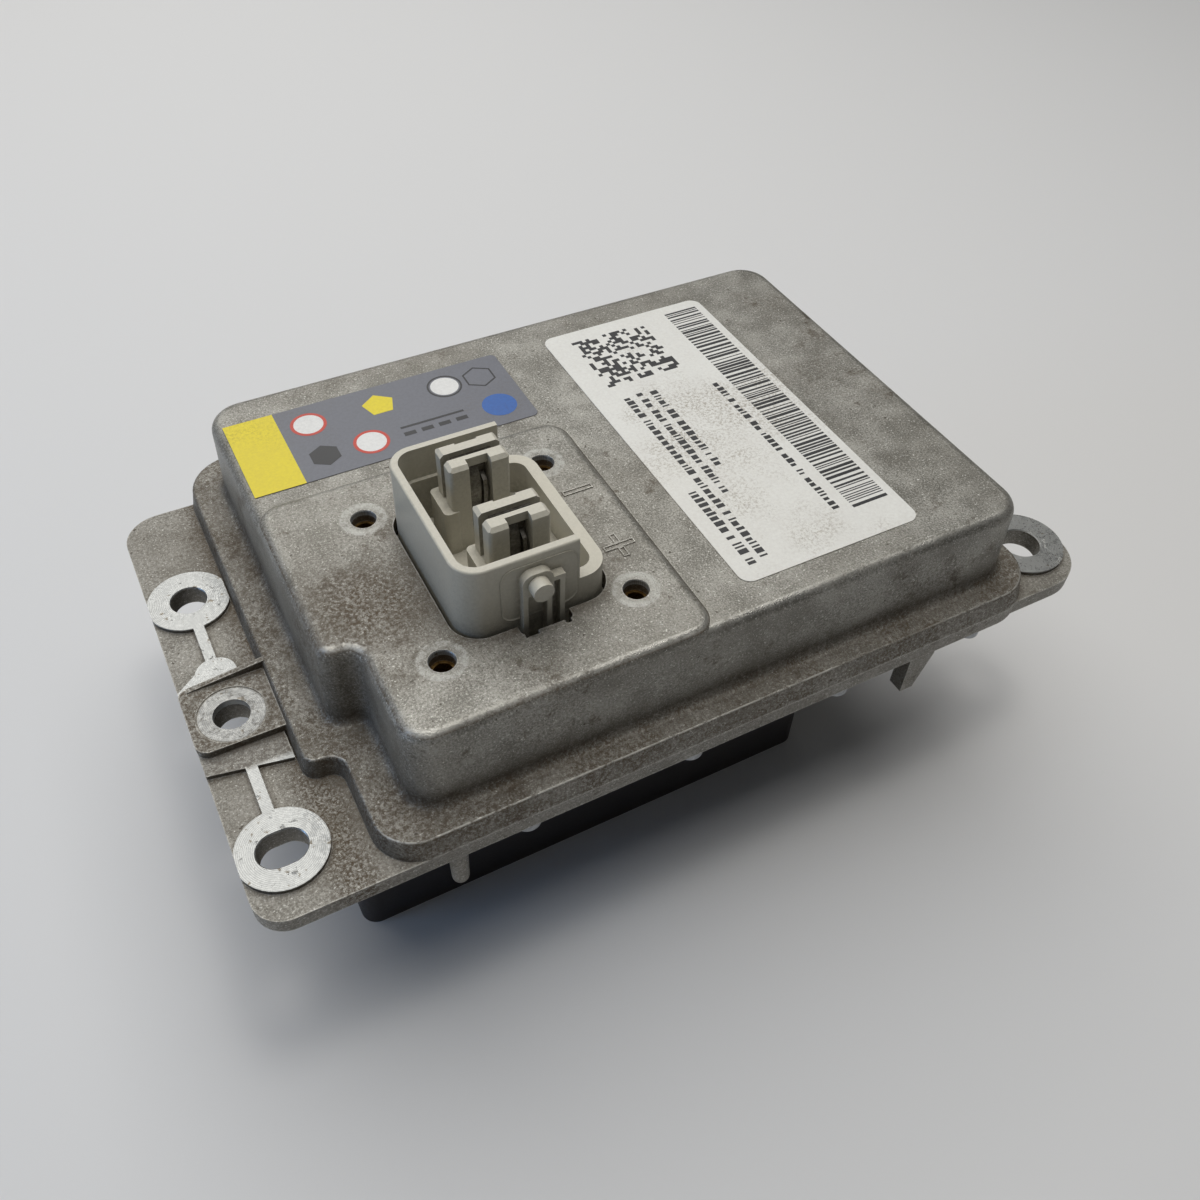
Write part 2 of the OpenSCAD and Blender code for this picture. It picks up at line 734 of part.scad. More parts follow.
// moulded shroud with the two contact towers
module socket_housing() {
  x0 = socket_x - socket_w / 2;
  x1 = socket_x + socket_w / 2;
  y0 = socket_y - socket_d / 2;
  y1 = socket_y + socket_d / 2;
  r = socket_r;
  rim_z = skin_z - seal_t;
  color("Tan") difference() {
    union() {
      difference() {
        union() {
          cast_block(x0, y0, x1, y1, [r, r, r, r], rim_z - cut, shroud_z - rim_z + cut,
            shroud_slope, 0.5);
          translate([0, 0, rim_z - socket_rim_t]) linear_extrude(socket_rim_t)
            socket_outline(socket_rim_w);
          shroud_front();
        }
        slab(x0 + shroud_t, y0 + shroud_t, x1 - shroud_t, y1 - shroud_t, socket_ledge,
          shroud_z + cut, r - shroud_t);
        slab(x0 + shroud_t + ledge_w, y0 + shroud_t + ledge_w, x1 - shroud_t - ledge_w,
          y1 - shroud_t - ledge_w, socket_floor, socket_ledge + cut, r - shroud_t - ledge_w);
        block([socket_x + high_side, y0 - cut, platform_z + low_side_h], [x1 + cut, y1 + cut,
          shroud_z + cut]);
      }
      for (s = [-0.5, 0.5]) {
        tower(socket_y + s * tower_pitch);
        pedestal(socket_y + s * tower_pitch);
      }
    }
    for (s = [-0.5, 0.5])
      block([tower_x - tower_w / 2 + 2, socket_y + s * tower_pitch - tower_slot / 2,
        rim_z - socket_rim_t - cut], [tower_x + tower_w / 2 - 2,
        socket_y + s * tower_pitch + tower_slot / 2, socket_floor + cut]);
  }
}

// seal between the shroud's rim and the inside of the cover
module socket_seal() {
  color("DimGray") translate([0, 0, skin_z - seal_t]) linear_extrude(seal_t) difference() {
    socket_outline(seal_w);
    socket_outline(socket_gap);
  }
}

// spring contact: two blades that lean to each other above, one leg to the bar below
module contact(y) {
  half = tower_slot / 2;
  foot_z = socket_floor + 1;
  translate([tower_x - tower_w / 2 + 2.2, y, 0]) rotate([90, 0, 90])
    linear_extrude(tower_w - 4.4) union() {
      polygon([[-half, board_z], [half, board_z], [half, foot_z], [-half, foot_z]]);
      for (s = [-1, 1]) polygon([[s * half, foot_z - 0.2], [s * half, tower_z - 1.2],
        [s * (half - blade_t), tower_z - 1.2], [s * (half - blade_t - 0.3), tower_z - 4.5],
        [s * (half - blade_t), tower_z - 9], [s * (half - blade_t), foot_z - 0.2]]);
    }
}

module positive_contact() {
  color("Goldenrod") contact(socket_y - tower_pitch / 2);
}

module negative_contact() {
  color("Goldenrod") contact(socket_y + tower_pitch / 2);
}

module threaded_inserts() {
  color("Gold") for (p = insert_places()) difference() {
    post(p[0], p[1], insert_top - insert_l, insert_top, insert_d);
    post(p[0], p[1], insert_top - insert_l - cut, insert_top + cut, insert_bore_d);
  }
}

// flat can with its two terminals and its vent
module cell(i) {
  z = cell_z(i);
  color("LightSteelBlue") union() {
    translate([cell_x, cell_y0, z + cell_t / 2]) rotate([-90, 0, 0]) linear_extrude(cell_h)
      rounded(-cell_l / 2, -cell_t / 2, cell_l / 2, cell_t / 2, [3, 3, 3, 3]);
    for (x = [terminal_x0, terminal_x1])
      block([x - terminal_w / 2, cell_y1 - cut, z + (cell_t - terminal_t) / 2],
        [x + terminal_w / 2, link_y, z + (cell_t + terminal_t) / 2]);
    translate([cell_x, cell_y1 - cut, z + cell_t / 2]) rotate([-90, 0, 0])
      cylinder(h = cut + 0.5, d = 8);
  }
}

module cell_1() {
  cell(0);
}

module cell_2() {
  cell(1);
}

module cell_3() {
  cell(2);
}

module cell_4() {
  cell(3);
}

module cell_separators() {
  color("White") for (i = [0:3])
    slab(cell_x0 + 6, cell_y0 + 5, cell_x1 - 6, cell_y1 - 5, cell_z(i) - pad_gap, cell_z(i), 4);
}

// moulded frame that keeps the terminals and links apart
module terminal_frame() {
  color("Orange") difference() {
    union() {
      block([cell_x0 + 1, cell_y1, cell_z0 + 1], [cell_x1 - 1, cell_y1 + frame_t,
        cell_z(3) + cell_t - 1]);
      for (x = [cell_x - 14, cell_x + 14])
        block([x - 1, cell_y1, cell_z0 + 1], [x + 1, cell_y1 + link_space - 0.6,
          cell_z(3) + cell_t - 1]);
    }
    for (i = [0:3]) {
      for (x = [terminal_x0, terminal_x1])
        block([x - terminal_w / 2 - 0.5, cell_y1 - cut,
          cell_z(i) + (cell_t - terminal_t) / 2 - 0.5],
          [x + terminal_w / 2 + 0.5, cell_y1 + frame_t + cut,
          cell_z(i) + (cell_t + terminal_t) / 2 + 0.5]);
      translate([cell_x, cell_y1 - cut, cell_z(i) + cell_t / 2]) rotate([-90, 0, 0])
        cylinder(h = frame_t + 2 * cut, d = 9);
    }
  }
}

module series_links() {
  color("Peru") for (i = [0:2]) {
    x = i == 1 ? terminal_x0 : terminal_x1;
    block([x - terminal_w / 2, link_y, cell_z(i) + (cell_t - terminal_t) / 2],
      [x + terminal_w / 2, link_y + link_t, cell_z(i + 1) + (cell_t + terminal_t) / 2]);
  }
}

// bar from the top cell's terminal up to the board
module positive_busbar() {
  x0 = terminal_x0 - bar_w / 2;
  x1 = terminal_x0 + bar_w / 2;
  y0 = board_y1 - 23;
  y1 = link_y + bar_t;
  color("Peru") union() {
    block([x0, link_y, cell_z(3) + (cell_t - terminal_t) / 2], [x1, y1, board_z]);
    block([x0, y0, board_z - bar_t], [x1, y1, board_z]);
    block([x0, y0, board_z - bar_t], [board_x0 + bar_w, y0 + bar_w, board_z]);
  }
}

// bar from the bottom cell's terminal up to the current shunt
module negative_busbar() {
  y = link_y + bar_t;
  z = cell_z(0) + (cell_t - terminal_t) / 2;
  color("Peru") union() {
    block([riser_x, link_y, z], [terminal_x0 + terminal_w / 2, y, z + terminal_t]);
    block([riser_x, link_y, z], [riser_x + riser_w, y, board_z]);
    block([riser_x, shunt_y1, board_z - bar_t], [riser_x + riser_w, y, board_z]);
  }
}

module current_shunt() {
  color("DarkKhaki") block([riser_x - 0.2, shunt_y0, board_z - bar_t - 0.4],
    [riser_x + riser_w + 0.2, shunt_y1, board_z + 0.4]);
}

// bar from the shunt to the rear contact
module negative_output_bar() {
  y = socket_y + tower_pitch / 2;
  color("Peru") union() {
    block([riser_x, y - bar_w / 2, board_z - bar_t], [riser_x + riser_w, shunt_y0, board_z]);
    block([riser_x, y - bar_w / 2, board_z - bar_t],
      [tower_x + tower_w / 2, y + bar_w / 2, board_z]);
  }
}

// bar from the board to the front contact
module positive_output_bar() {
  y = socket_y - tower_pitch / 2;
  color("Peru") block([tower_x - tower_w / 2, y - bar_w / 2, board_z - bar_t],
    [board_x0 + bar_w, y + bar_w / 2, board_z]);
}

module control_board() {
  color("DarkGreen") difference() {
    slab(board_x0, board_y0, board_x1, board_y1, board_z, board_top, board_r);
    for (p = board_screw_places())
      post(p[0], p[1], board_z - cut, board_top + cut, small_d + screw_clearance);
  }
}

module power_transistors() {
  color("Black") for (i = [0:transistor_count - 1])
    translate([transistor_x, board_y + (i - (transistor_count - 1) / 2) * transistor_pitch, 0])
      block([-5, -4.5, board_top], [5, 4.5, board_top + transistor_h]);
}

module heat_pad() {
  color("LightBlue") slab(transistor_x - 6, board_y0 + 10, transistor_x + 6, board_y1 - 10,
    board_top + transistor_h, board_top + transistor_h + heat_pad_t, 1);
}

module capacitors() {
  color("Navy") for (i = [0:2])
    post(board_x0 + 28, board_y - 34 + i * 14, board_z - 11, board_z, 10);
}

module board_chips() {
  color("Black") for (p = [[17, 24, 9], [33, 18, 7], [33, -4, 5], [17, -2, 6]])
    translate([board_x0 + p[0], board_y + p[1], board_top]) cube([p[2], p[2], 1.2]);
}

module sense_connector() {
  color("White") block([flex_x - 4.5, board_y + 6, flex_z], [flex_x + 4.5, board_y + 14, board_z]);
}

// flat cable from the links to the board
module sense_flex() {
  x0 = flex_x - flex_w / 2;
  x1 = flex_x + flex_w / 2;
  y0 = link_y + link_t;
  color("Orange") union() {
    block([x0, y0, cell_z(0) + 3], [x1, y0 + flex_t, flex_z]);
    block([x0, board_y + 6, flex_z - flex_t], [x1, y0 + flex_t, flex_z]);
  }
}

module temperature_sensor() {
  z = cell_z(3) + cell_t;
  color("Black") union() {
    block([flex_x - 4, board_y + 4, z], [flex_x + 4, board_y + 10, z + 1.5]);
    block([flex_x - 1, board_y + 6.6, z + 1], [flex_x + 1, board_y + 7.2, flex_z - flex_t]);
  }
}

module board_screws() {
  color("Gray") for (p = board_screw_places())
    translate([p[0], p[1], 0]) union() {
      post(0, 0, board_z - small_head_h, board_z, small_head_d);
      post(0, 0, board_z - cut, board_top + 5, small_d);
    }
}

module cover_screws() {
  color("Gray") for (p = cover_screw_places()) translate([p[0], p[1], 0]) union() {
    post(0, 0, base_z - head_h, base_z, head_d);
    post(0, 0, base_z - cut, flange_z + thread_in - 0.3, screw_d);
  }
}

module case_screws() {
  color("Gray") for (p = case_screw_places()) translate([p[0], p[1], 0]) union() {
    post(0, 0, base_z - rim_t - small_head_h, base_z - rim_t, small_head_d);
    post(0, 0, base_z - rim_t - cut, base_z + base_t - 1, small_d);
  }
}

// breather in the underside of the base plate
module vent_plug() {
  color("Black") union() {
    post(vent_x, vent_y, base_z - 3, base_z, vent_d + 5);
    post(vent_x, vent_y, base_z - cut, flange_z + 1.5, vent_d);
  }
}

module white_label() {
  x0 = wall_x0 + platform_w + 9.8;
  y0 = (wall_y0 + wall_y1 - white_label_l) / 2 - 0.9;
  color("White") slab(x0, y0, x0 + white_label_w, y0 + white_label_l, top_z, top_z + label_t, 3);
}

module grey_label() {
  x0 = wall_x0 + 3;
  y0 = wall_y0 + platform_d + 3.1;
  color("LightSlateGray") slab(x0, y0, x0 + grey_label_w, y0 + grey_label_l, top_z,
    top_z + label_t, 1.5);
}

base_plate();
top_cover();
cover_gasket();
cell_case();
case_seal();
socket_housing();
socket_seal();
positive_contact();
negative_contact();
threaded_inserts();
cell_1();
cell_2();
cell_3();
cell_4();
cell_separators();
terminal_frame();
series_links();
positive_busbar();
negative_busbar();
positive_output_bar();
negative_output_bar();
current_shunt();
control_board();
power_transistors();
heat_pad();
capacitors();
board_chips();
sense_connector();
sense_flex();
temperature_sensor();
board_screws();
cover_screws();
case_screws();
vent_plug();
white_label();
grey_label();
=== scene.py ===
"""Looks of the lithium car battery: castings, socket, labels and the parts inside.

Lengths are in metres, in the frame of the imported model. The camera stands at the front left
and looks down at the cover. Marks, label prints and casting details are pieces made here;
every node of the frame keeps its shape and gets a finish of its own.
"""

import json
import math
import random

import bmesh
import bpy
from mathutils import Matrix, Vector


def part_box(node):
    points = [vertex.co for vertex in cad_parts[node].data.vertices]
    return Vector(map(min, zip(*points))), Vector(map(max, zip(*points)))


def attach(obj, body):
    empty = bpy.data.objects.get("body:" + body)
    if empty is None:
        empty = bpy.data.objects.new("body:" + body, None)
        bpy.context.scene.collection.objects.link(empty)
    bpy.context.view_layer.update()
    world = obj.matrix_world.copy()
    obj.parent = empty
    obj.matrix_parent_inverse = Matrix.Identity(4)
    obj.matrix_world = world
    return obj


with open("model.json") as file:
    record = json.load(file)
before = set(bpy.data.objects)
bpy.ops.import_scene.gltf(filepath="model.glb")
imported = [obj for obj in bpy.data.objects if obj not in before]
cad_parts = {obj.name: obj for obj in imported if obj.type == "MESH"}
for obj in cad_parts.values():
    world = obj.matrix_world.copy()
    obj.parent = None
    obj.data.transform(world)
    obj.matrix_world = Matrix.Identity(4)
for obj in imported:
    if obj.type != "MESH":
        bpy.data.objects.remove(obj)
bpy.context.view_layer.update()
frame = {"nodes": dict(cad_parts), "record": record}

MM = 0.001
NODES = frame["nodes"]

white_lo, white_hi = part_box("white_label")
grey_lo, grey_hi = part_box("grey_label")
PLATFORM_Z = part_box("top_cover")[1][2]
PAD_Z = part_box("base_plate")[1][2]

MOUNTS = {mount["name"]: mount for mount in frame["record"]["mounts"]}


def mount_spot(name):
    """Place in plan of a mount of the record, in millimetres."""
    spot = MOUNTS[name]["pos_m"]
    return spot[0] / MM, spot[1] / MM


# holes that have a machined ring round them, in millimetres
LUG_HOLE = mount_spot("lug_mounting_hole")
SLOT_Y = -51.7
PAD_HOLES = [mount_spot("left_mounting_hole"), (LUG_HOLE[0], SLOT_Y), mount_spot("right_mounting_hole")]
LUG_RING_R = 7.5
INSERT_MIDDLE = mount_spot("socket_inserts")
INSERT_HALF_X, INSERT_HALF_Y = 22.0, 22.75
INSERT_HOLES = [(INSERT_MIDDLE[0] + dx, INSERT_MIDDLE[1] + dy)
                for dx in (-INSERT_HALF_X, INSERT_HALF_X) for dy in (-INSERT_HALF_Y, INSERT_HALF_Y)]
INSERT_RING_R = 5.0

# heights of the cover, in metres
FLANGE_TOP = 0.0620
TOP_FACE = white_lo[2]

# contact towers and the panel line on the shroud's front, in millimetres
positive_lo, positive_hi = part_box("positive_contact")
negative_lo, negative_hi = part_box("negative_contact")
TOWER_X = (positive_lo[0] + positive_hi[0]) / 2 / MM
TOWER_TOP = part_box("socket_housing")[1][2] / MM
TOWER_PITCH = (negative_lo[1] - positive_lo[1]) / MM
socket_middle_y = (positive_lo[1] + negative_hi[1]) / 2 / MM
SHROUD_HALF_DEPTH = 21.0
SHROUD_FRONT = socket_middle_y - SHROUD_HALF_DEPTH
SHROUD_SLOPE = 0.012
PANEL = (TOWER_X - 7.8, TOWER_X + 9.4, PLATFORM_Z / MM + 1.5, PLATFORM_Z / MM + 15.9)

# polarity marks beside the socket, and the patch where most dirt has settled
MARK_X = -10.8
MINUS_Y = -8.9
PLUS_Y = -29.0
DIRTY_SPOT = (-66.0, -22.0)

# on the plate, in metres: dirt in the channel beside the cover, and painted shadow of the lug on the
# strip in front of it
CHANNEL_X = (-0.0950, -0.0885, -0.0860, -0.0780)
LUG_SHADOW_Y = [(LUG_HOLE[1] - before) * MM for before in (14.8, 14.4, 13.2, 8.0, 6.0)]


# ---------------------------------------------------------------- node helpers
def socket_value(tree, socket, value):
    """Links an output to a socket, or sets the socket to a plain number or colour."""
    if isinstance(value, bpy.types.NodeSocket):
        tree.links.new(value, socket)
    elif value is not None:
        socket.default_value = value


def calc(tree, operation, a, b=None, clamp=False):
    """One step of arithmetic on masks or numbers."""
    node = tree.nodes.new("ShaderNodeMath")
    node.operation = operation
    node.use_clamp = clamp
    socket_value(tree, node.inputs[0], a)
    socket_value(tree, node.inputs[1], b)
    return node.outputs[0]


def ramp(tree, value, low, high, to_low=0.0, to_high=1.0):
    """Smooth step of a value between two limits."""
    node = tree.nodes.new("ShaderNodeMapRange")
    node.interpolation_type = "SMOOTHSTEP"
    socket_value(tree, node.inputs["Value"], value)
    for name, number in (("From Min", low), ("From Max", high), ("To Min", to_low), ("To Max", to_high)):
        socket_value(tree, node.inputs[name], number)
    return node.outputs["Result"]


def times(tree, mask, *others):
    """Product of several masks."""
    for other in others:
        mask = calc(tree, "MULTIPLY", mask, other)
    return mask


def most(tree, mask, *others):
    """The strongest of several masks."""
    for other in others:
        mask = calc(tree, "MAXIMUM", mask, other)
    return mask


def blend_colour(tree, factor, a, b):
    """Colour between a, at factor 0, and b, at factor 1."""
    node = tree.nodes.new("ShaderNodeMix")
    node.data_type = "RGBA"
    socket_value(tree, node.inputs["Factor"], factor)
    socket_value(tree, node.inputs["A"], a)
    socket_value(tree, node.inputs["B"], b)
    return node.outputs["Result"]


def place(tree):
    """Place on the piece, in metres."""
    return tree.nodes.new("ShaderNodeTexCoord").outputs["Object"]


def noise(tree, scale, detail, rough):
    """Cloudy noise; a larger scale makes finer clouds."""
    node = tree.nodes.new("ShaderNodeTexNoise")
    node.inputs["Detail"].default_value = detail
    node.inputs["Roughness"].default_value = rough
    socket_value(tree, node.inputs["Scale"], scale)
    tree.links.new(place(tree), node.inputs["Vector"])
    return node.outputs["Fac"]


def patchy(tree, scale, detail, rough, low, high, to_low=0.0, to_high=1.0):
    """Noise cut to a mask between two of its levels."""
    return ramp(tree, noise(tree, scale, detail, rough), low, high, to_low, to_high)


def axes_of(tree):
    """The X, Y and Z of the place on the piece."""
    split = tree.nodes.new("ShaderNodeSeparateXYZ")
    tree.links.new(place(tree), split.inputs[0])
    return split.outputs


def rgb(red, green, blue):
    """Colour as read from a screen, 0 to 255, made linear."""
    def linear(v):
        v /= 255.0
        return v / 12.92 if v <= 0.04045 else ((v + 0.055) / 1.055) ** 2.4
    return (linear(red), linear(green), linear(blue), 1.0)


def new_group(name, inputs, outputs):
    """Empty node group with its inputs, each with a number to start from, and its outputs."""
    group = bpy.data.node_groups.new(name, "ShaderNodeTree")
    for label, value in inputs:
        item = group.interface.new_socket(label, in_out="INPUT", socket_type="NodeSocketFloat")
        item.default_value = value
    for label in outputs:
        group.interface.new_socket(label, in_out="OUTPUT", socket_type="NodeSocketFloat")
    return group, group.nodes.new("NodeGroupInput").outputs, group.nodes.new("NodeGroupOutput").inputs


def make_edge_wear():
    """Mask of the sharp edges where the skin is scuffed bright, broken up by noise."""
    inputs = [("Radius", 0.0008), ("Amount", 1.0), ("Breakup", 400.0)]
    group, given, out = new_group("edge_wear", inputs, ["Mask"])
    bevel = group.nodes.new("ShaderNodeBevel")
    bevel.samples = 4
    group.links.new(given["Radius"], bevel.inputs["Radius"])
    face = group.nodes.new("ShaderNodeNewGeometry")
    dot = group.nodes.new("ShaderNodeVectorMath")
    dot.operation = "DOT_PRODUCT"
    group.links.new(bevel.outputs["Normal"], dot.inputs[0])
    group.links.new(face.outputs["Normal"], dot.inputs[1])
    turned = calc(group, "SUBTRACT", 1.0, dot.outputs["Value"])
    broken = patchy(group, given["Breakup"], 6.0, 0.7, 0.36, 0.56, 0.25, 1.0)
    edge = times(group, ramp(group, turned, 0.02, 0.16), broken)
    group.links.new(calc(group, "MULTIPLY", edge, given["Amount"], clamp=True), out["Mask"])
    return group


def make_rub_and_highlight_band():
    """Mask of the rounded edges between two heights, by how far their face leans over: edge wear and a
    painted highlight, strongest where the edges face the front.
    """
    inputs = [("Low", 0.08), ("High", 0.083), ("Breakup", 300.0)]
    group, given, out = new_group("rub_and_highlight_band", inputs, ["Mask"])
    face = group.nodes.new("ShaderNodeNewGeometry")
    split = group.nodes.new("ShaderNodeSeparateXYZ")
    group.links.new(face.outputs["Normal"], split.inputs[0])
    lean = split.outputs["Z"]
    # painted highlight: the band follows the lean of the face and is strongest on faces turned to the
    # front
    band = times(group, ramp(group, lean, 0.62, 0.84), ramp(group, lean, 0.93, 0.99, 1.0, 0.0))
    to_front = times(group, split.outputs["Y"], -1.0)
    band = times(group, band, ramp(group, to_front, 0.05, 0.3, 0.12, 1.0))
    height = axes_of(group)["Z"]
    above = calc(group, "GREATER_THAN", height, given["Low"])
    below = calc(group, "LESS_THAN", height, given["High"])
    broken = patchy(group, given["Breakup"], 8.0, 0.75, 0.38, 0.52, 0.05, 1.0)
    group.links.new(times(group, band, broken, above, below), out["Mask"])
    return group


def make_dirt_and_corner_shade():
    """Mask of painted shade with dirt in hollows, and of dirt in clouds on open faces."""
    inputs = [("Reach", 0.008), ("Corners", 1.0), ("Clouds", 0.5)]
    group, given, out = new_group("dirt_and_corner_shade", inputs, ["Mask"])
    # painted shade: ambient occlusion darkens the hollows, broken up by noise
    shade = group.nodes.new("ShaderNodeAmbientOcclusion")
    shade.samples = 6
    group.links.new(given["Reach"], shade.inputs["Distance"])
    corner = calc(group, "SUBTRACT", 1.0, shade.outputs["AO"])
    corner = times(group, ramp(group, corner, 0.06, 0.6), given["Corners"],
                   patchy(group, 900.0, 8.0, 0.8, 0.38, 0.56, 0.4, 1.0))
    cloud = times(group, patchy(group, 30.0, 5.0, 0.6, 0.46, 0.70, 0.06, 1.0),
                  patchy(group, 1300.0, 9.0, 0.82, 0.48, 0.57), given["Clouds"])
    group.links.new(calc(group, "ADD", corner, cloud, clamp=True), out["Mask"])
    return group


def make_grain():
    """Fine grain: a height for bump and a mottle for colour and roughness."""
    inputs = [("Scale", 1500.0), ("Patches", 60.0)]
    group, given, out = new_group("surface_grain", inputs, ["Height", "Mottle"])
    fine = noise(group, given["Scale"], 6.0, 0.7)
    patch = noise(group, given["Patches"], 4.0, 0.55)
    group.links.new(calc(group, "ADD", fine, times(group, patch, 0.6)), out["Height"])
    mottle = calc(group, "ADD", times(group, fine, 0.7), times(group, patch, 0.3))
    group.links.new(mottle, out["Mottle"])
    return group


EDGE_WEAR = make_edge_wear()
RUB_AND_HIGHLIGHT = make_rub_and_highlight_band()
DIRT_AND_CORNER_SHADE = make_dirt_and_corner_shade()
GRAIN = make_grain()


def use(tree, group, **values):
    """Outputs of a node group with some of its inputs set."""
    node = tree.nodes.new("ShaderNodeGroup")
    node.node_tree = group
    for label, value in values.items():
        socket_value(tree, node.inputs[label], value)
    return node.outputs


def finish_material(name, build):
    """New material: build(tree, shader) wires it and returns its bump's height, strength and depth."""
    material = bpy.data.materials.new(name)
    material.use_nodes = True
    tree = material.node_tree
    shader = tree.nodes["Principled BSDF"]
    height, strength, depth = build(tree, shader)
    bump = tree.nodes.new("ShaderNodeBump")
    bump.inputs["Strength"].default_value = strength
    bump.inputs["Distance"].default_value = depth
    tree.links.new(height, bump.inputs["Height"])
    tree.links.new(bump.outputs["Normal"], shader.inputs["Normal"])
    return material


def ring_distance(tree, x, y):
    """Distance in plan from an upright axis, in metres."""
    spot = axes_of(tree)
    dx = calc(tree, "SUBTRACT", spot["X"], x * MM)
    dy = calc(tree, "SUBTRACT", spot["Y"], y * MM)
    return calc(tree, "SQRT", calc(tree, "ADD", times(tree, dx, dx), times(tree, dy, dy)))


def nearest(tree, holes):
    """Distance in plan from the nearest of several upright axes, in metres."""
    distance = None
    for x, y in holes:
        here = ring_distance(tree, x, y)
        distance = here if distance is None else calc(tree, "MINIMUM", distance, here)
    return distance


# ---------------------------------------------------------------- castings
# colours of the casting; the dirt colour also paints shade in hollows, and the wear colour also paints
# highlights
CAST = {
    "dark": rgb(114, 112, 105), "light": rgb(172, 170, 163), "drift": rgb(122, 118, 109),
    "glint": rgb(216, 215, 208), "pit": rgb(74, 66, 56), "pressed": rgb(186, 186, 181),
    "dirt": rgb(80, 67, 50), "clot": rgb(72, 60, 45), "wear_and_highlight": rgb(194, 192, 185),
    "turned_low": rgb(156, 157, 155), "turned_high": rgb(180, 181, 179), "stain": rgb(104, 94, 78),
}
TURNING_PITCH = 16000.0


def cast_skin(tree, shader, machined, turning, rub_and_highlight, extra_dirt_and_shade, witness=None):
    """Grey casting: painted sparkle, brown dirt with painted shade in hollows, edge wear with painted
    highlights, machined and pressed rings.
    """
    grain = use(tree, GRAIN, Scale=2300.0, Patches=110.0)

    # masks
    # the dirt mask is partly painted shade: ambient occlusion in hollows, and the shade each casting
    # adds to it
    dirt = use(tree, DIRT_AND_CORNER_SHADE, Reach=0.007, Corners=0.95, Clouds=0.6)["Mask"]
    gritty = patchy(tree, 1250.0, 9.0, 0.84, 0.44, 0.55, 0.1, 1.0)
    dirt = most(tree, dirt, times(tree, extra_dirt_and_shade, gritty))
    clots = times(tree, patchy(tree, 120.0, 9.0, 0.76, 0.56, 0.63, 0.0, 0.6),
                  patchy(tree, 28.0, 2.0, 0.5, 0.42, 0.56, 0.15, 1.0))
    wear = use(tree, EDGE_WEAR, Radius=0.0006, Amount=0.8, Breakup=420.0)["Mask"]
    # the wear mask also carries the painted highlight on the rounded edges
    wear = most(tree, wear, rub_and_highlight)
    drift = patchy(tree, 22.0, 3.0, 0.5, 0.35, 0.65)
    # painted sparkle: bright specks that stand in for glints of the metal
    glints = patchy(tree, 2100.0, 3.0, 0.6, 0.60, 0.70, 0.0, 0.9)
    pits = patchy(tree, 620.0, 3.0, 0.6, 0.27, 0.31, 0.85, 0.0)
    stains = patchy(tree, 560.0, 4.0, 0.6, 0.63, 0.68, 0.0, 0.8)

    # colour, from the bare metal outwards
    skin = blend_colour(tree, ramp(tree, grain["Mottle"], 0.41, 0.59), CAST["dark"], CAST["light"])
    skin = blend_colour(tree, times(tree, drift, 0.35), skin, CAST["drift"])
    # painted sparkle
    skin = blend_colour(tree, glints, skin, CAST["glint"])
    skin = blend_colour(tree, pits, skin, CAST["pit"])
    if witness is not None:
        skin = blend_colour(tree, witness, skin, CAST["pressed"])
    # dirt colour, also painting shade in hollows and recesses
    skin = blend_colour(tree, dirt, skin, CAST["dirt"])
    skin = blend_colour(tree, clots, skin, CAST["clot"])
    # wear colour, also painting the highlight on rounded edges
    skin = blend_colour(tree, wear, skin, CAST["wear_and_highlight"])
    turned = blend_colour(tree, turning, CAST["turned_low"], CAST["turned_high"])
    turned = blend_colour(tree, stains, turned, CAST["stain"])
    skin = blend_colour(tree, machined, skin, turned)
    tree.links.new(skin, shader.inputs["Base Color"])

    # shine
    bright = most(tree, wear, machined)
    metal = calc(tree, "SUBTRACT", 0.62, times(tree, dirt, 0.6))
    metal = calc(tree, "ADD", metal, times(tree, bright, 0.3), clamp=True)
    tree.links.new(metal, shader.inputs["Metallic"])
    rough = ramp(tree, grain["Mottle"], 0.38, 0.62, 0.34, 0.48)
    rough = calc(tree, "ADD", rough, times(tree, dirt, 0.32))
    rough = calc(tree, "SUBTRACT", rough, times(tree, bright, 0.12), clamp=True)
    tree.links.new(rough, shader.inputs["Roughness"])

    # bump
    height = calc(tree, "SUBTRACT", grain["Height"], times(tree, pits, 0.5))
    height = times(tree, height, calc(tree, "SUBTRACT", 1.0, times(tree, machined, 0.85)))
    height = calc(tree, "ADD", height, times(tree, turning, machined, 0.07))
    return height, 0.7, 0.0002


def turning_marks(tree, distance):
    """Concentric lines that the cutter leaves on a machined face."""
    wave = calc(tree, "SINE", times(tree, distance, TURNING_PITCH))
    return ramp(tree, wave, -1.0, 1.0)


def build_plate(tree, shader):
    """Casting of the base plate: machined pads, dirt in the channel, and painted shadow of the lug on
    the strip before it.
    """
    spot = axes_of(tree)
    machined = times(tree, ramp(tree, spot["Z"], PAD_Z - 0.00035, PAD_Z - 0.00025),
                     patchy(tree, 420.0, 6.0, 0.7, 0.28, 0.38, 0.3, 1.0))
    # edge wear and a painted highlight on the plate's rounded edges
    rub_and_highlight = use(tree, RUB_AND_HIGHLIGHT, Low=0.0, High=PAD_Z, Breakup=300.0)["Mask"]
    outer, full, thin, inner = CHANNEL_X
    channel = times(tree, ramp(tree, spot["X"], outer, full, 0.35, 1.0),
                    ramp(tree, spot["X"], thin, inner, 1.0, 0.3))
    # painted shadow of the lug on the strip in front of it: no machined finish there, dirt colour
    # instead
    edge, start, full, thin, end = LUG_SHADOW_Y
    strip = times(tree, ramp(tree, spot["Y"], start, full, 0.25, 0.85),
                  ramp(tree, spot["Y"], thin, end, 1.0, 0.0), ramp(tree, spot["Y"], edge, start))
    machined = times(tree, machined, calc(tree, "SUBTRACT", 1.0, strip))
    # the channel's mask also carries the painted shadow of the lug
    channel = most(tree, channel, times(tree, strip, 0.9))
    turning = turning_marks(tree, nearest(tree, PAD_HOLES))
    return cast_skin(tree, shader, machined, turning, rub_and_highlight, channel)


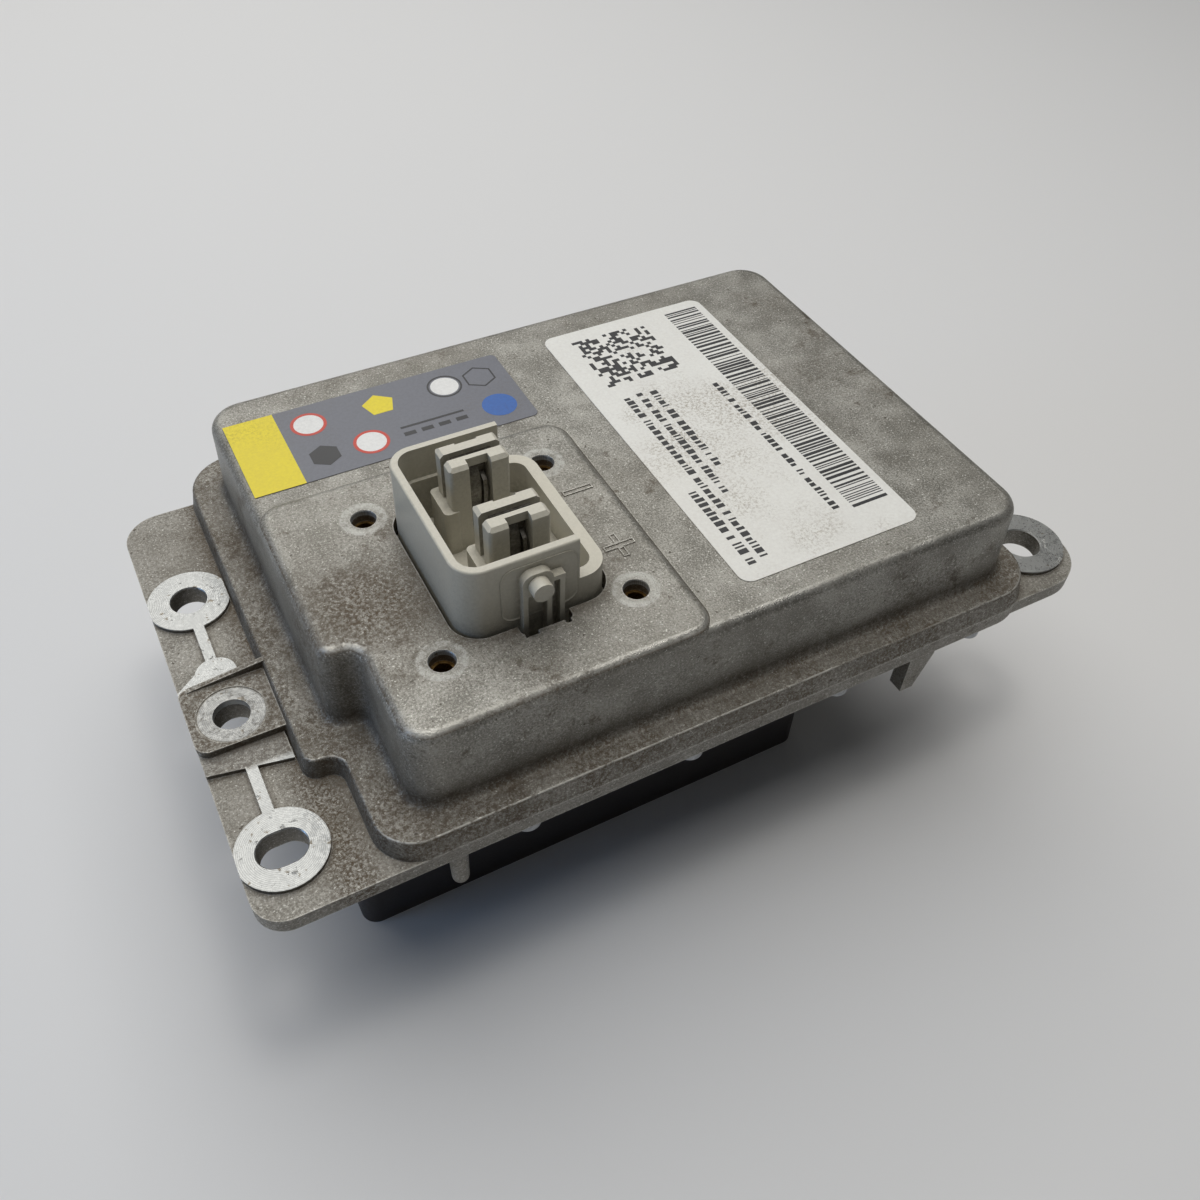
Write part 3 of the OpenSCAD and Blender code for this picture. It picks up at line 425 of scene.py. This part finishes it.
def build_cover(tree, shader):
    """Casting of the cover: pressed and machined rings, edge wear with painted highlights, dirt, and
    painted shade low on the walls and in the holes.
    """
    from_lug = ring_distance(tree, *LUG_HOLE)
    rings = nearest(tree, INSERT_HOLES)
    height = axes_of(tree)["Z"]

    # rings round the platform's holes and the face round the lug's hole
    witness = times(tree, ramp(tree, rings, 0.0031, 0.0044, 0.2, 0.7),
                    ramp(tree, rings, INSERT_RING_R * MM, INSERT_RING_R * MM + 0.0005, 1.0, 0.0),
                    ramp(tree, height, PLATFORM_Z - 0.0009, PLATFORM_Z - 0.0006),
                    patchy(tree, 520.0, 7.0, 0.75, 0.38, 0.54, 0.2, 1.0))
    # painted highlight round the rims of the platform's holes
    hole_rim_highlight = times(tree, ramp(tree, rings, 0.00262, 0.00270),
                     ramp(tree, rings, 0.00292, 0.00302, 1.0, 0.0),
                     ramp(tree, height, PLATFORM_Z - 0.0012, PLATFORM_Z - 0.0008))
    # inside the holes: painted highlight near the top, painted shade further down
    inside = ramp(tree, rings, 0.00285, 0.00292, 1.0, 0.0)
    mouth_highlight = times(tree, inside, ramp(tree, height, PLATFORM_Z - 0.0015, PLATFORM_Z - 0.0011))
    bore_shade = calc(tree, "SUBTRACT", inside, mouth_highlight)
    flat = ramp(tree, from_lug, LUG_RING_R * MM - 0.0004, LUG_RING_R * MM - 0.0002, 0.75, 0.0)
    machined = times(tree, flat, patchy(tree, 500.0, 6.0, 0.7, 0.32, 0.46, 0.35, 1.0))

    # edge wear, with a painted highlight along the rounded edges
    top_edges = use(tree, RUB_AND_HIGHLIGHT, Low=TOP_FACE - 0.0032, High=TOP_FACE + 0.003, Breakup=260.0)
    flange_edges = use(tree, RUB_AND_HIGHLIGHT, Low=FLANGE_TOP - 0.0012, High=FLANGE_TOP + 0.00005, Breakup=340.0)
    rub_and_highlight = times(tree, most(tree, top_edges["Mask"], flange_edges["Mask"]), 0.85,
                   patchy(tree, 24.0, 2.0, 0.5, 0.38, 0.58, 0.25, 1.0))
    rub_and_highlight = most(tree, rub_and_highlight, hole_rim_highlight)

    # dirt: a patch on the platform, round the lug and on the flange; painted shade at the feet of the
    # walls, at the base of the platform's step and down in the holes
    patch = times(tree, ramp(tree, ring_distance(tree, *DIRTY_SPOT), 0.004, 0.026, 1.0, 0.0),
                  patchy(tree, 75.0, 5.0, 0.65, 0.36, 0.52, 0.2, 1.0))
    # painted shade at the feet of the walls above the flange
    foot_shade = times(tree, ramp(tree, height, FLANGE_TOP + 0.0005, FLANGE_TOP + 0.008, 0.9, 0.0),
                 patchy(tree, 90.0, 5.0, 0.6, 0.36, 0.56, 0.5, 1.0))
    around = times(tree, ramp(tree, from_lug, 0.0074, 0.0078),
                   ramp(tree, from_lug, 0.012, 0.017, 0.85, 0.0))
    # painted shade at the base of the platform's step
    step = times(tree, ramp(tree, height, TOP_FACE + 0.00002, TOP_FACE + 0.0001),
                 ramp(tree, height, TOP_FACE + 0.0003, TOP_FACE + 0.0009, 0.9, 0.0))
    rim = ramp(tree, height, FLANGE_TOP + 0.00015, FLANGE_TOP + 0.0004, 0.6, 0.0)
    dirt_and_shade = most(tree, patch, foot_shade, around, step, rim, bore_shade)
    # the tops of the holes take the turned colour as a painted highlight
    return cast_skin(tree, shader, most(tree, machined, mouth_highlight), turning_marks(tree, from_lug),
                     rub_and_highlight, dirt_and_shade, witness)


# ---------------------------------------------------------------- plain finishes
def plain(colour, darker, rough=(0.4, 0.6), metallic=0.0, grain_scale=1200.0, patches=90.0,
          dirt=0.4, corner_shade=0.6, wear=0.0, bump=0.25, dirt_colour=(72, 64, 54),
          wear_colour=(200, 198, 190)):
    """Finish of one stuff: two tones, grain, some dirt with painted shade in hollows, and some edge
    wear.
    """
    def build(tree, shader):
        grain = use(tree, GRAIN, Scale=grain_scale, Patches=patches)
        mottle = ramp(tree, grain["Mottle"], 0.36, 0.64)
        tone = blend_colour(tree, mottle, rgb(*darker), rgb(*colour))
        # painted shade in hollows, and dirt in clouds
        mask = use(tree, DIRT_AND_CORNER_SHADE, Reach=0.006, Corners=corner_shade, Clouds=dirt)["Mask"]
        tone = blend_colour(tree, mask, tone, rgb(*dirt_colour))
        if wear:
            edge = use(tree, EDGE_WEAR, Radius=0.0005, Amount=wear, Breakup=600.0)["Mask"]
            tone = blend_colour(tree, edge, tone, rgb(*wear_colour))
        tree.links.new(tone, shader.inputs["Base Color"])
        shader.inputs["Metallic"].default_value = metallic
        level = ramp(tree, grain["Mottle"], 0.35, 0.65, *rough)
        level = calc(tree, "ADD", level, times(tree, mask, 0.2), clamp=True)
        tree.links.new(level, shader.inputs["Roughness"])
        return grain["Height"], bump, 0.00012
    return build


FINISHES = {
    "cast_plate": build_plate,
    "cast_cover": build_cover,
    "seal_rubber": plain((40, 40, 40), (28, 28, 28), (0.6, 0.8)),
    "case_plastic": plain((46, 43, 44), (30, 28, 29), (0.42, 0.6), dirt=0.25, corner_shade=0.3),
    "socket_plastic": plain((202, 198, 184), (193, 189, 175), (0.30, 0.40), grain_scale=1400.0,
                            patches=40.0, dirt=0.14, corner_shade=0.5, wear=0.12, bump=0.03,
                            dirt_colour=(98, 92, 78), wear_colour=(212, 210, 200)),
    "contact_metal": plain((150, 148, 142), (104, 102, 97), (0.28, 0.42), 0.9, dirt=0.3),
    "insert_brass": plain((196, 160, 98), (150, 112, 60), (0.22, 0.36), 0.95, dirt=0.1, corner_shade=0.3),
    "cell_can": plain((186, 190, 196), (164, 168, 174), (0.3, 0.42), 0.85, dirt=0.05, corner_shade=0.1),
    "foam_sheet": plain((206, 208, 206), (186, 188, 186), (0.8, 0.95)),
    "orange_plastic": plain((214, 116, 36), (196, 100, 26), (0.4, 0.55), dirt=0.05, corner_shade=0.1),
    "copper_sheet": plain((204, 132, 92), (176, 104, 68), (0.25, 0.4), 0.95, dirt=0.08, corner_shade=0.1),
    "green_board": plain((28, 92, 52), (20, 74, 42), (0.25, 0.35), dirt=0.0, corner_shade=0.1),
    "chip_black": plain((38, 38, 40), (26, 26, 28), (0.4, 0.55), dirt=0.0, corner_shade=0.1),
    "blue_sleeve": plain((40, 58, 110), (30, 46, 92), (0.25, 0.35), dirt=0.0, corner_shade=0.1),
    "white_plastic": plain((224, 222, 214), (208, 206, 198), (0.35, 0.5), dirt=0.05, corner_shade=0.1),
    "zinc_screw": plain((176, 178, 180), (140, 142, 146), (0.3, 0.45), 0.9, dirt=0.2, corner_shade=0.4),
    "white_film": plain((226, 226, 221), (218, 217, 212), (0.34, 0.46), dirt=0.75,
                        corner_shade=0.0, bump=0.03, dirt_colour=(120, 104, 80)),
    "grey_film": plain((110, 112, 120), (101, 103, 111), (0.36, 0.48), dirt=0.45,
                       corner_shade=0.0, bump=0.04, dirt_colour=(92, 84, 70)),
    "yellow_ink": plain((228, 210, 44), (218, 199, 36), (0.42, 0.54), dirt=0.35,
                        corner_shade=0.0, bump=0.03, dirt_colour=(122, 104, 46)),
    "dark_ink": plain((44, 44, 46), (34, 34, 36), (0.36, 0.48), dirt=0.1, corner_shade=0.0, bump=0.04),
    "pale_ink": plain((226, 226, 224), (214, 214, 212), (0.36, 0.48), dirt=0.15, corner_shade=0.0, bump=0.04),
    "blue_ink": plain((38, 96, 172), (30, 86, 160), (0.34, 0.46), dirt=0.15, corner_shade=0.0, bump=0.04),
    "red_ink": plain((196, 62, 44), (182, 54, 38), (0.34, 0.46), dirt=0.15, corner_shade=0.0, bump=0.04),
}
MATERIALS = {name: finish_material(name, build) for name, build in FINISHES.items()}

NODE_FINISH = {
    "base_plate": "cast_plate", "top_cover": "cast_cover", "cover_gasket": "seal_rubber",
    "cell_case": "case_plastic", "case_seal": "seal_rubber", "socket_housing": "socket_plastic",
    "socket_seal": "seal_rubber", "positive_contact": "contact_metal",
    "negative_contact": "contact_metal", "threaded_inserts": "insert_brass",
    "cell_1": "cell_can", "cell_2": "cell_can", "cell_3": "cell_can", "cell_4": "cell_can",
    "cell_separators": "foam_sheet", "terminal_frame": "orange_plastic",
    "series_links": "copper_sheet", "positive_busbar": "copper_sheet",
    "negative_busbar": "copper_sheet", "positive_output_bar": "copper_sheet",
    "negative_output_bar": "copper_sheet", "current_shunt": "contact_metal",
    "control_board": "green_board", "power_transistors": "chip_black", "heat_pad": "foam_sheet",
    "capacitors": "blue_sleeve", "board_chips": "chip_black", "sense_connector": "white_plastic",
    "sense_flex": "orange_plastic", "temperature_sensor": "chip_black",
    "board_screws": "zinc_screw", "cover_screws": "zinc_screw", "case_screws": "zinc_screw",
    "vent_plug": "chip_black", "white_label": "white_film", "grey_label": "grey_film",
}
for node_name, finish_name in NODE_FINISH.items():
    data = NODES[node_name].data
    data.materials.clear()
    data.materials.append(MATERIALS[finish_name])


# ---------------------------------------------------------------- pieces
def piece(name, bm, finish):
    """Turns a bmesh in millimetres into a piece of the battery."""
    bmesh.ops.remove_doubles(bm, verts=bm.verts, dist=0.0005)
    bmesh.ops.recalc_face_normals(bm, faces=bm.faces)
    bmesh.ops.scale(bm, vec=(MM, MM, MM), verts=bm.verts)
    mesh = bpy.data.meshes.new(name)
    bm.to_mesh(mesh)
    bm.free()
    mesh.materials.append(MATERIALS[finish])
    made = bpy.data.objects.new(name, mesh)
    bpy.context.scene.collection.objects.link(made)
    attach(made, "root")
    return made


def add_tile(bm, x0, y0, x1, y1, z, thick, bevel=0.0):
    """Flat tile from corner to corner, standing on z, with rounded upper edges if asked."""
    tile = bmesh.ops.create_cube(bm, size=1.0)["verts"]
    bmesh.ops.scale(bm, vec=(x1 - x0, y1 - y0, thick), verts=tile)
    bmesh.ops.translate(bm, vec=((x0 + x1) / 2, (y0 + y1) / 2, z + thick / 2), verts=tile)
    if bevel:
        edges = {e for v in tile for e in v.link_edges}
        bmesh.ops.bevel(bm, geom=list(edges), offset=bevel, offset_type="OFFSET", affect="EDGES",
                        segments=2, profile=0.5, material=-1)


def add_disc(bm, x, y, radius, z, thick, segments=40):
    """Flat disc, or a plate with few corners, standing on z."""
    made = bmesh.ops.create_cone(bm, cap_ends=True, segments=segments, radius1=radius,
                                 radius2=radius, depth=thick)["verts"]
    bmesh.ops.translate(bm, vec=(x, y, z + thick / 2), verts=made)


INK = 0.03
label_top = white_hi[2] / MM
white_x0, white_y0 = white_lo[0] / MM, white_lo[1] / MM
white_x1, white_y1 = white_hi[0] / MM, white_hi[1] / MM
grey_x0, grey_y0 = grey_lo[0] / MM, grey_lo[1] / MM
grey_x1, grey_y1 = grey_hi[0] / MM, grey_hi[1] / MM

# white label, in millimetres: the square of tiles, the strip of bars and the rows of blocks
SQUARE_SIZE = 21.5
SQUARE_TILES = 21
SQUARE_FILL = 0.46
SQUARE_FROM_LEFT, SQUARE_FROM_BACK = 6.6, 4.6
BARS_FROM_FRONT, BARS_FROM_BACK = 9.5, 3.5
BARS_FROM_RIGHT = (12.0, 2.2)
BAR_WIDTHS = (0.3, 0.3, 0.6, 0.6, 0.9)
BAR_GAPS = (0.35, 0.45, 0.65, 0.9)
# each row: from the left, from the front, length, height of the blocks
BLOCK_ROWS = ((4.0, 4.5, 26.0, 2.4), (7.6, 5.5, 62.0, 2.0), (11.4, 27.0, 42.0, 2.0),
              (15.0, 36.0, 33.0, 2.0), (31.3, 11.0, 52.0, 1.8))
BLOCK_WIDTHS = (0.5, 0.9, 1.2, 1.5)
BLOCK_LOWER = (0.0, 0.0, 0.4)
BLOCK_GAPS = (0.45, 0.55, 0.7, 1.6)

# grey label, in millimetres from its left and its front edge
YELLOW_WIDTH = 12.1
BACK_ROW, FRONT_ROW = 20.4, 7.6
FIRST_X, SECOND_X, FIFTH_X, LAST_X = 19.0, 30.5, 54.5, grey_x1 - grey_x0 - 7.4
AMBER_X = 37.0
DASH_X = (38.5, 43.0, 47.5, 52.0)
DASH_LINE = (38.5, 55.0)


def print_white_label():
    """Plain print: a square of small tiles, a strip of bars and rows of blocks for lines of words."""
    bm = bmesh.new()
    shuffle = random.Random(11)
    step = SQUARE_SIZE / SQUARE_TILES
    left, back = white_x0 + SQUARE_FROM_LEFT, white_y1 - SQUARE_FROM_BACK
    for column in range(SQUARE_TILES):
        for row in range(SQUARE_TILES):
            if shuffle.random() < SQUARE_FILL:
                add_tile(bm, left + column * step, back - (row + 1) * step,
                         left + (column + 1) * step, back - row * step, label_top, INK)
    bar_x0, bar_x1 = (white_x1 - inward for inward in BARS_FROM_RIGHT)
    y = white_y0 + BARS_FROM_FRONT
    while y < white_y1 - BARS_FROM_BACK:
        wide = shuffle.choice(BAR_WIDTHS)
        add_tile(bm, bar_x0, y, bar_x1, y + wide, label_top, INK)
        y += wide + shuffle.choice(BAR_GAPS)
    for x, start, length, tall in BLOCK_ROWS:
        y = white_y0 + start
        end = y + length
        while y < end:
            wide = shuffle.choice(BLOCK_WIDTHS)
            low = shuffle.choice(BLOCK_LOWER)
            add_tile(bm, white_x0 + x, y, white_x0 + x + tall - low, y + wide, label_top, INK)
            y += wide + shuffle.choice(BLOCK_GAPS)
    return piece("white_label_print", bm, "dark_ink")


def add_ring(bm, x, y, radius, line, z, thick, segments=40):
    """Flat ring: a circle drawn in to a smaller one, and the face between them raised."""
    made = bmesh.ops.create_circle(bm, cap_ends=False, segments=segments, radius=radius)["verts"]
    edges = list({e for v in made for e in v.link_edges})
    spread = bmesh.ops.extrude_edge_only(bm, edges=edges)["geom"]
    inner = [v for v in spread if isinstance(v, bmesh.types.BMVert)]
    bmesh.ops.scale(bm, vec=(1 - line / radius, 1 - line / radius, 1.0), verts=inner)
    faces = [f for f in spread if isinstance(f, bmesh.types.BMFace)]
    raised = bmesh.ops.extrude_face_region(bm, geom=faces)["geom"]
    top = [v for v in raised if isinstance(v, bmesh.types.BMVert)]
    bmesh.ops.translate(bm, vec=(0.0, 0.0, thick), verts=top)
    bmesh.ops.translate(bm, vec=(x, y, z), verts=made + inner + top)


def print_grey_label():
    """Yellow end field, and plain coloured shapes in two rows on the rest of the grey label."""
    back, front = grey_y0 + BACK_ROW, grey_y0 + FRONT_ROW
    first, second, fifth, last = (grey_x0 + x for x in (FIRST_X, SECOND_X, FIFTH_X, LAST_X))

    bm = bmesh.new()
    add_tile(bm, grey_x0, grey_y0, grey_x0 + YELLOW_WIDTH, grey_y1, label_top, INK)
    piece("yellow_field", bm, "yellow_ink")

    bm = bmesh.new()
    for x, y in ((first, back), (second, front), (fifth, back)):
        add_disc(bm, x, y, 3.6, label_top, INK)
    piece("pale_fields", bm, "pale_ink")

    bm = bmesh.new()
    add_ring(bm, first, back, 4.4, 0.8, label_top, INK)
    add_ring(bm, second, front, 4.4, 0.8, label_top, INK)
    piece("red_rings", bm, "red_ink")

    bm = bmesh.new()
    add_disc(bm, last, front, 4.4, label_top, INK)
    piece("blue_field", bm, "blue_ink")

    bm = bmesh.new()
    add_disc(bm, first, front, 3.9, label_top, INK, 6)
    add_ring(bm, fifth, back, 4.5, 0.5, label_top, INK)
    add_ring(bm, last, back, 4.4, 0.5, label_top, INK, 6)
    for x in DASH_X:
        add_tile(bm, grey_x0 + x, front - 1.6, grey_x0 + x + 3.0, front - 0.2, label_top, INK)
    line_x0, line_x1 = (grey_x0 + x for x in DASH_LINE)
    add_tile(bm, line_x0, front + 1.4, line_x1, front + 2.1, label_top, INK)
    piece("dark_fields", bm, "dark_ink")

    bm = bmesh.new()
    add_disc(bm, grey_x0 + AMBER_X, back, 4.2, label_top, INK, 5)
    piece("amber_field", bm, "yellow_ink")


MARK_HALF, MARK_ARM = 3.75, 0.78
MARK_LINE, MARK_THICK, MARK_ROUND, MARK_SUNK = 0.36, 0.26, 0.08, 0.02


def outline_bar(bm, x0, y0, x1, y1, z):
    """Raised outline of a bar, as cast in the platform."""
    for corner_shade in ((x0, y0, x1, y0 + MARK_LINE), (x0, y1 - MARK_LINE, x1, y1),
                    (x0, y0 + MARK_LINE, x0 + MARK_LINE, y1 - MARK_LINE),
                    (x1 - MARK_LINE, y0 + MARK_LINE, x1, y1 - MARK_LINE)):
        add_tile(bm, *corner_shade, z, MARK_THICK, MARK_ROUND)


def cast_marks():
    """Minus beside the rear pole and plus beside the front pole."""
    z = PLATFORM_Z / MM - MARK_SUNK
    half, arm = MARK_HALF, MARK_ARM
    bm = bmesh.new()
    outline_bar(bm, MARK_X - half, MINUS_Y - arm, MARK_X + half, MINUS_Y + arm, z)
    piece("minus_mark", bm, "cast_cover")
    bm = bmesh.new()
    outline_bar(bm, MARK_X - half, PLUS_Y - arm, MARK_X + half, PLUS_Y + arm, z)
    for y0, y1 in ((PLUS_Y - half, PLUS_Y - arm), (PLUS_Y + arm, PLUS_Y + half)):
        outline_bar(bm, MARK_X - arm, y0, MARK_X + arm, y1, z)
    piece("plus_mark", bm, "cast_cover")


# strips of the spring sheet: left and right edge, then how far out and how far down they bend
SPRING_STRIPS = (
    (-1.9, 0.7, ((0.0, -3.4), (-0.9, -5.2), (-1.5, -8.4), (-1.1, -12.0), (-0.15, -15.5))),
    (1.0, 1.9, ((-0.1, -5.2), (-1.9, -6.4), (-2.2, -9.5), (-1.2, -15.5))),
)
SPRING_IN_TOWER = 1.02
SPRING_SHEET = 0.35


def spring_tongue(name, middle_y):
    """Bent tongue and hook of tinned sheet in the window of a contact tower."""
    bm = bmesh.new()
    face_y = middle_y - SPRING_IN_TOWER
    for x0, x1, bend in SPRING_STRIPS:
        last = None
        chain = []
        for dy, dz in bend:
            vert = bm.verts.new((TOWER_X + x0, face_y + dy, TOWER_TOP + dz))
            if last:
                chain.append(bm.edges.new((last, vert)))
            last = vert
        wide = bmesh.ops.extrude_edge_only(bm, edges=chain)["geom"]
        moved = [v for v in wide if isinstance(v, bmesh.types.BMVert)]
        bmesh.ops.translate(bm, vec=(x1 - x0, 0.0, 0.0), verts=moved)
    bmesh.ops.recalc_face_normals(bm, faces=bm.faces)
    bmesh.ops.solidify(bm, geom=bm.faces[:], thickness=SPRING_SHEET)
    return piece(name, bm, "contact_metal")


PANEL_DEPTH, PANEL_PROUD = 0.5, 0.13
PANEL_CORNER, PANEL_LINE, PANEL_SUNK = 3.0, 0.3, 0.16


def shroud_panel():
    """Raised line of a rounded panel on the front of the shroud."""
    bm = bmesh.new()
    x0, x1, z0, z1 = PANEL
    plate = bmesh.ops.create_cube(bm, size=1.0)["verts"]
    bmesh.ops.scale(bm, vec=(x1 - x0, PANEL_DEPTH, z1 - z0), verts=plate)
    bmesh.ops.translate(bm, vec=((x0 + x1) / 2, 0.0, (z0 + z1) / 2), verts=plate)
    deep = [e for e in bm.edges if abs(e.verts[0].co.y - e.verts[1].co.y) > 0.1]
    bmesh.ops.bevel(bm, geom=deep, offset=PANEL_CORNER, offset_type="OFFSET", affect="EDGES",
                    segments=6, profile=0.5, material=-1)
    front = min(bm.faces, key=lambda f: f.calc_center_median().y)
    bmesh.ops.inset_region(bm, faces=[front], thickness=PANEL_LINE, depth=-PANEL_SUNK)
    for vert in bm.verts:
        lean = SHROUD_SLOPE * (vert.co.z - PLATFORM_Z / MM)
        vert.co.y += SHROUD_FRONT + PANEL_DEPTH / 2 - PANEL_PROUD + lean
    return piece("shroud_panel_line", bm, "socket_plastic")


print_white_label()
print_grey_label()
cast_marks()
spring_tongue("positive_tongue", socket_middle_y - TOWER_PITCH / 2)
spring_tongue("negative_tongue", socket_middle_y + TOWER_PITCH / 2)
shroud_panel()


# ---------------------------------------------------------------- camera, floor and light
def aim(yaw, pitch, roll):
    """Rotation of a camera that looks down by pitch, turned by yaw from +Y towards +X."""
    yaw, pitch, roll = (math.radians(a) for a in (yaw, pitch, roll))
    level = math.cos(pitch)
    ahead = Vector((math.sin(yaw) * level, math.cos(yaw) * level, -math.sin(pitch)))
    right = Vector((math.cos(yaw), -math.sin(yaw), 0.0))
    up = right.cross(ahead)
    level_right = math.cos(roll) * right + math.sin(roll) * up
    level_up = -math.sin(roll) * right + math.cos(roll) * up
    return Matrix((level_right, level_up, -ahead)).transposed().to_4x4()


CAMERA_SPOT = (-0.1004, -0.1785, 0.2550)
CAMERA_YAW, CAMERA_PITCH, CAMERA_ROLL = 29.73, 47.30, 2.53
camera_data = bpy.data.cameras.new("camera")
camera_data.sensor_width = 36.0
camera_data.lens = 33.37
camera_data.clip_start = 0.01
camera = bpy.data.objects.new("camera", camera_data)
camera.matrix_world = Matrix.Translation(CAMERA_SPOT) @ aim(CAMERA_YAW, CAMERA_PITCH, CAMERA_ROLL)
bpy.context.scene.collection.objects.link(camera)
bpy.context.scene.camera = camera

floor_bm = bmesh.new()
bmesh.ops.create_grid(floor_bm, x_segments=1, y_segments=1, size=3.0)
floor_mesh = bpy.data.meshes.new("floor")
floor_bm.to_mesh(floor_mesh)
floor_bm.free()
floor = bpy.data.objects.new("floor", floor_mesh)
floor_material = bpy.data.materials.new("pale_floor")
floor_material.use_nodes = True
floor_shader = floor_material.node_tree.nodes["Principled BSDF"]
floor_shader.inputs["Base Color"].default_value = (0.70, 0.70, 0.70, 1.0)
floor_shader.inputs["Roughness"].default_value = 0.9
floor_mesh.materials.append(floor_material)
bpy.context.scene.collection.objects.link(floor)


def soft_light(name, spot, target, size, watts, colour):
    """Square soft light of a size at a spot, turned to a target."""
    lamp = bpy.data.lights.new(name, "AREA")
    lamp.size = size
    lamp.energy = watts
    lamp.color = colour
    made = bpy.data.objects.new(name, lamp)
    spot = Vector(spot)
    turn = (Vector(target) - spot).to_track_quat("-Z", "Y")
    made.matrix_world = Matrix.Translation(spot) @ turn.to_matrix().to_4x4()
    bpy.context.scene.collection.objects.link(made)


soft_light("window", (0.00, 0.95, 0.60), (-0.02, 0.0, 0.07), 0.6, 1.4, (1.0, 0.99, 0.97))
soft_light("sky", (-0.80, 0.10, 0.30), (0.0, 0.0, 0.05), 0.35, 1.0, (0.34, 0.58, 1.0))
soft_light("ceiling", (-0.02, 0.32, 1.10), (0.0, 0.0, 0.05), 1.5, 13.0, (1.0, 0.99, 0.965))
soft_light("lamp", (0.05, -0.05, 0.85), (-0.02, 0.0, 0.07), 0.16, 0.8, (1.0, 0.97, 0.92))

# dim grey air for the light, and a pale backdrop that only the camera sees
world = bpy.data.worlds.new("studio")
bpy.context.scene.world = world
world.use_nodes = True
air = world.node_tree
air.nodes["Background"].inputs["Color"].default_value = (0.92, 0.93, 0.95, 1.0)
air.nodes["Background"].inputs["Strength"].default_value = 0.06
backdrop = air.nodes.new("ShaderNodeBackground")
backdrop.inputs["Color"].default_value = (0.66, 0.66, 0.66, 1.0)
either = air.nodes.new("ShaderNodeMixShader")
air.links.new(air.nodes.new("ShaderNodeLightPath").outputs["Is Camera Ray"], either.inputs[0])
air.links.new(air.nodes["Background"].outputs[0], either.inputs[1])
air.links.new(backdrop.outputs[0], either.inputs[2])
air.links.new(either.outputs[0], air.nodes["World Output"].inputs["Surface"])
bpy.context.scene.view_settings.view_transform = "Standard"
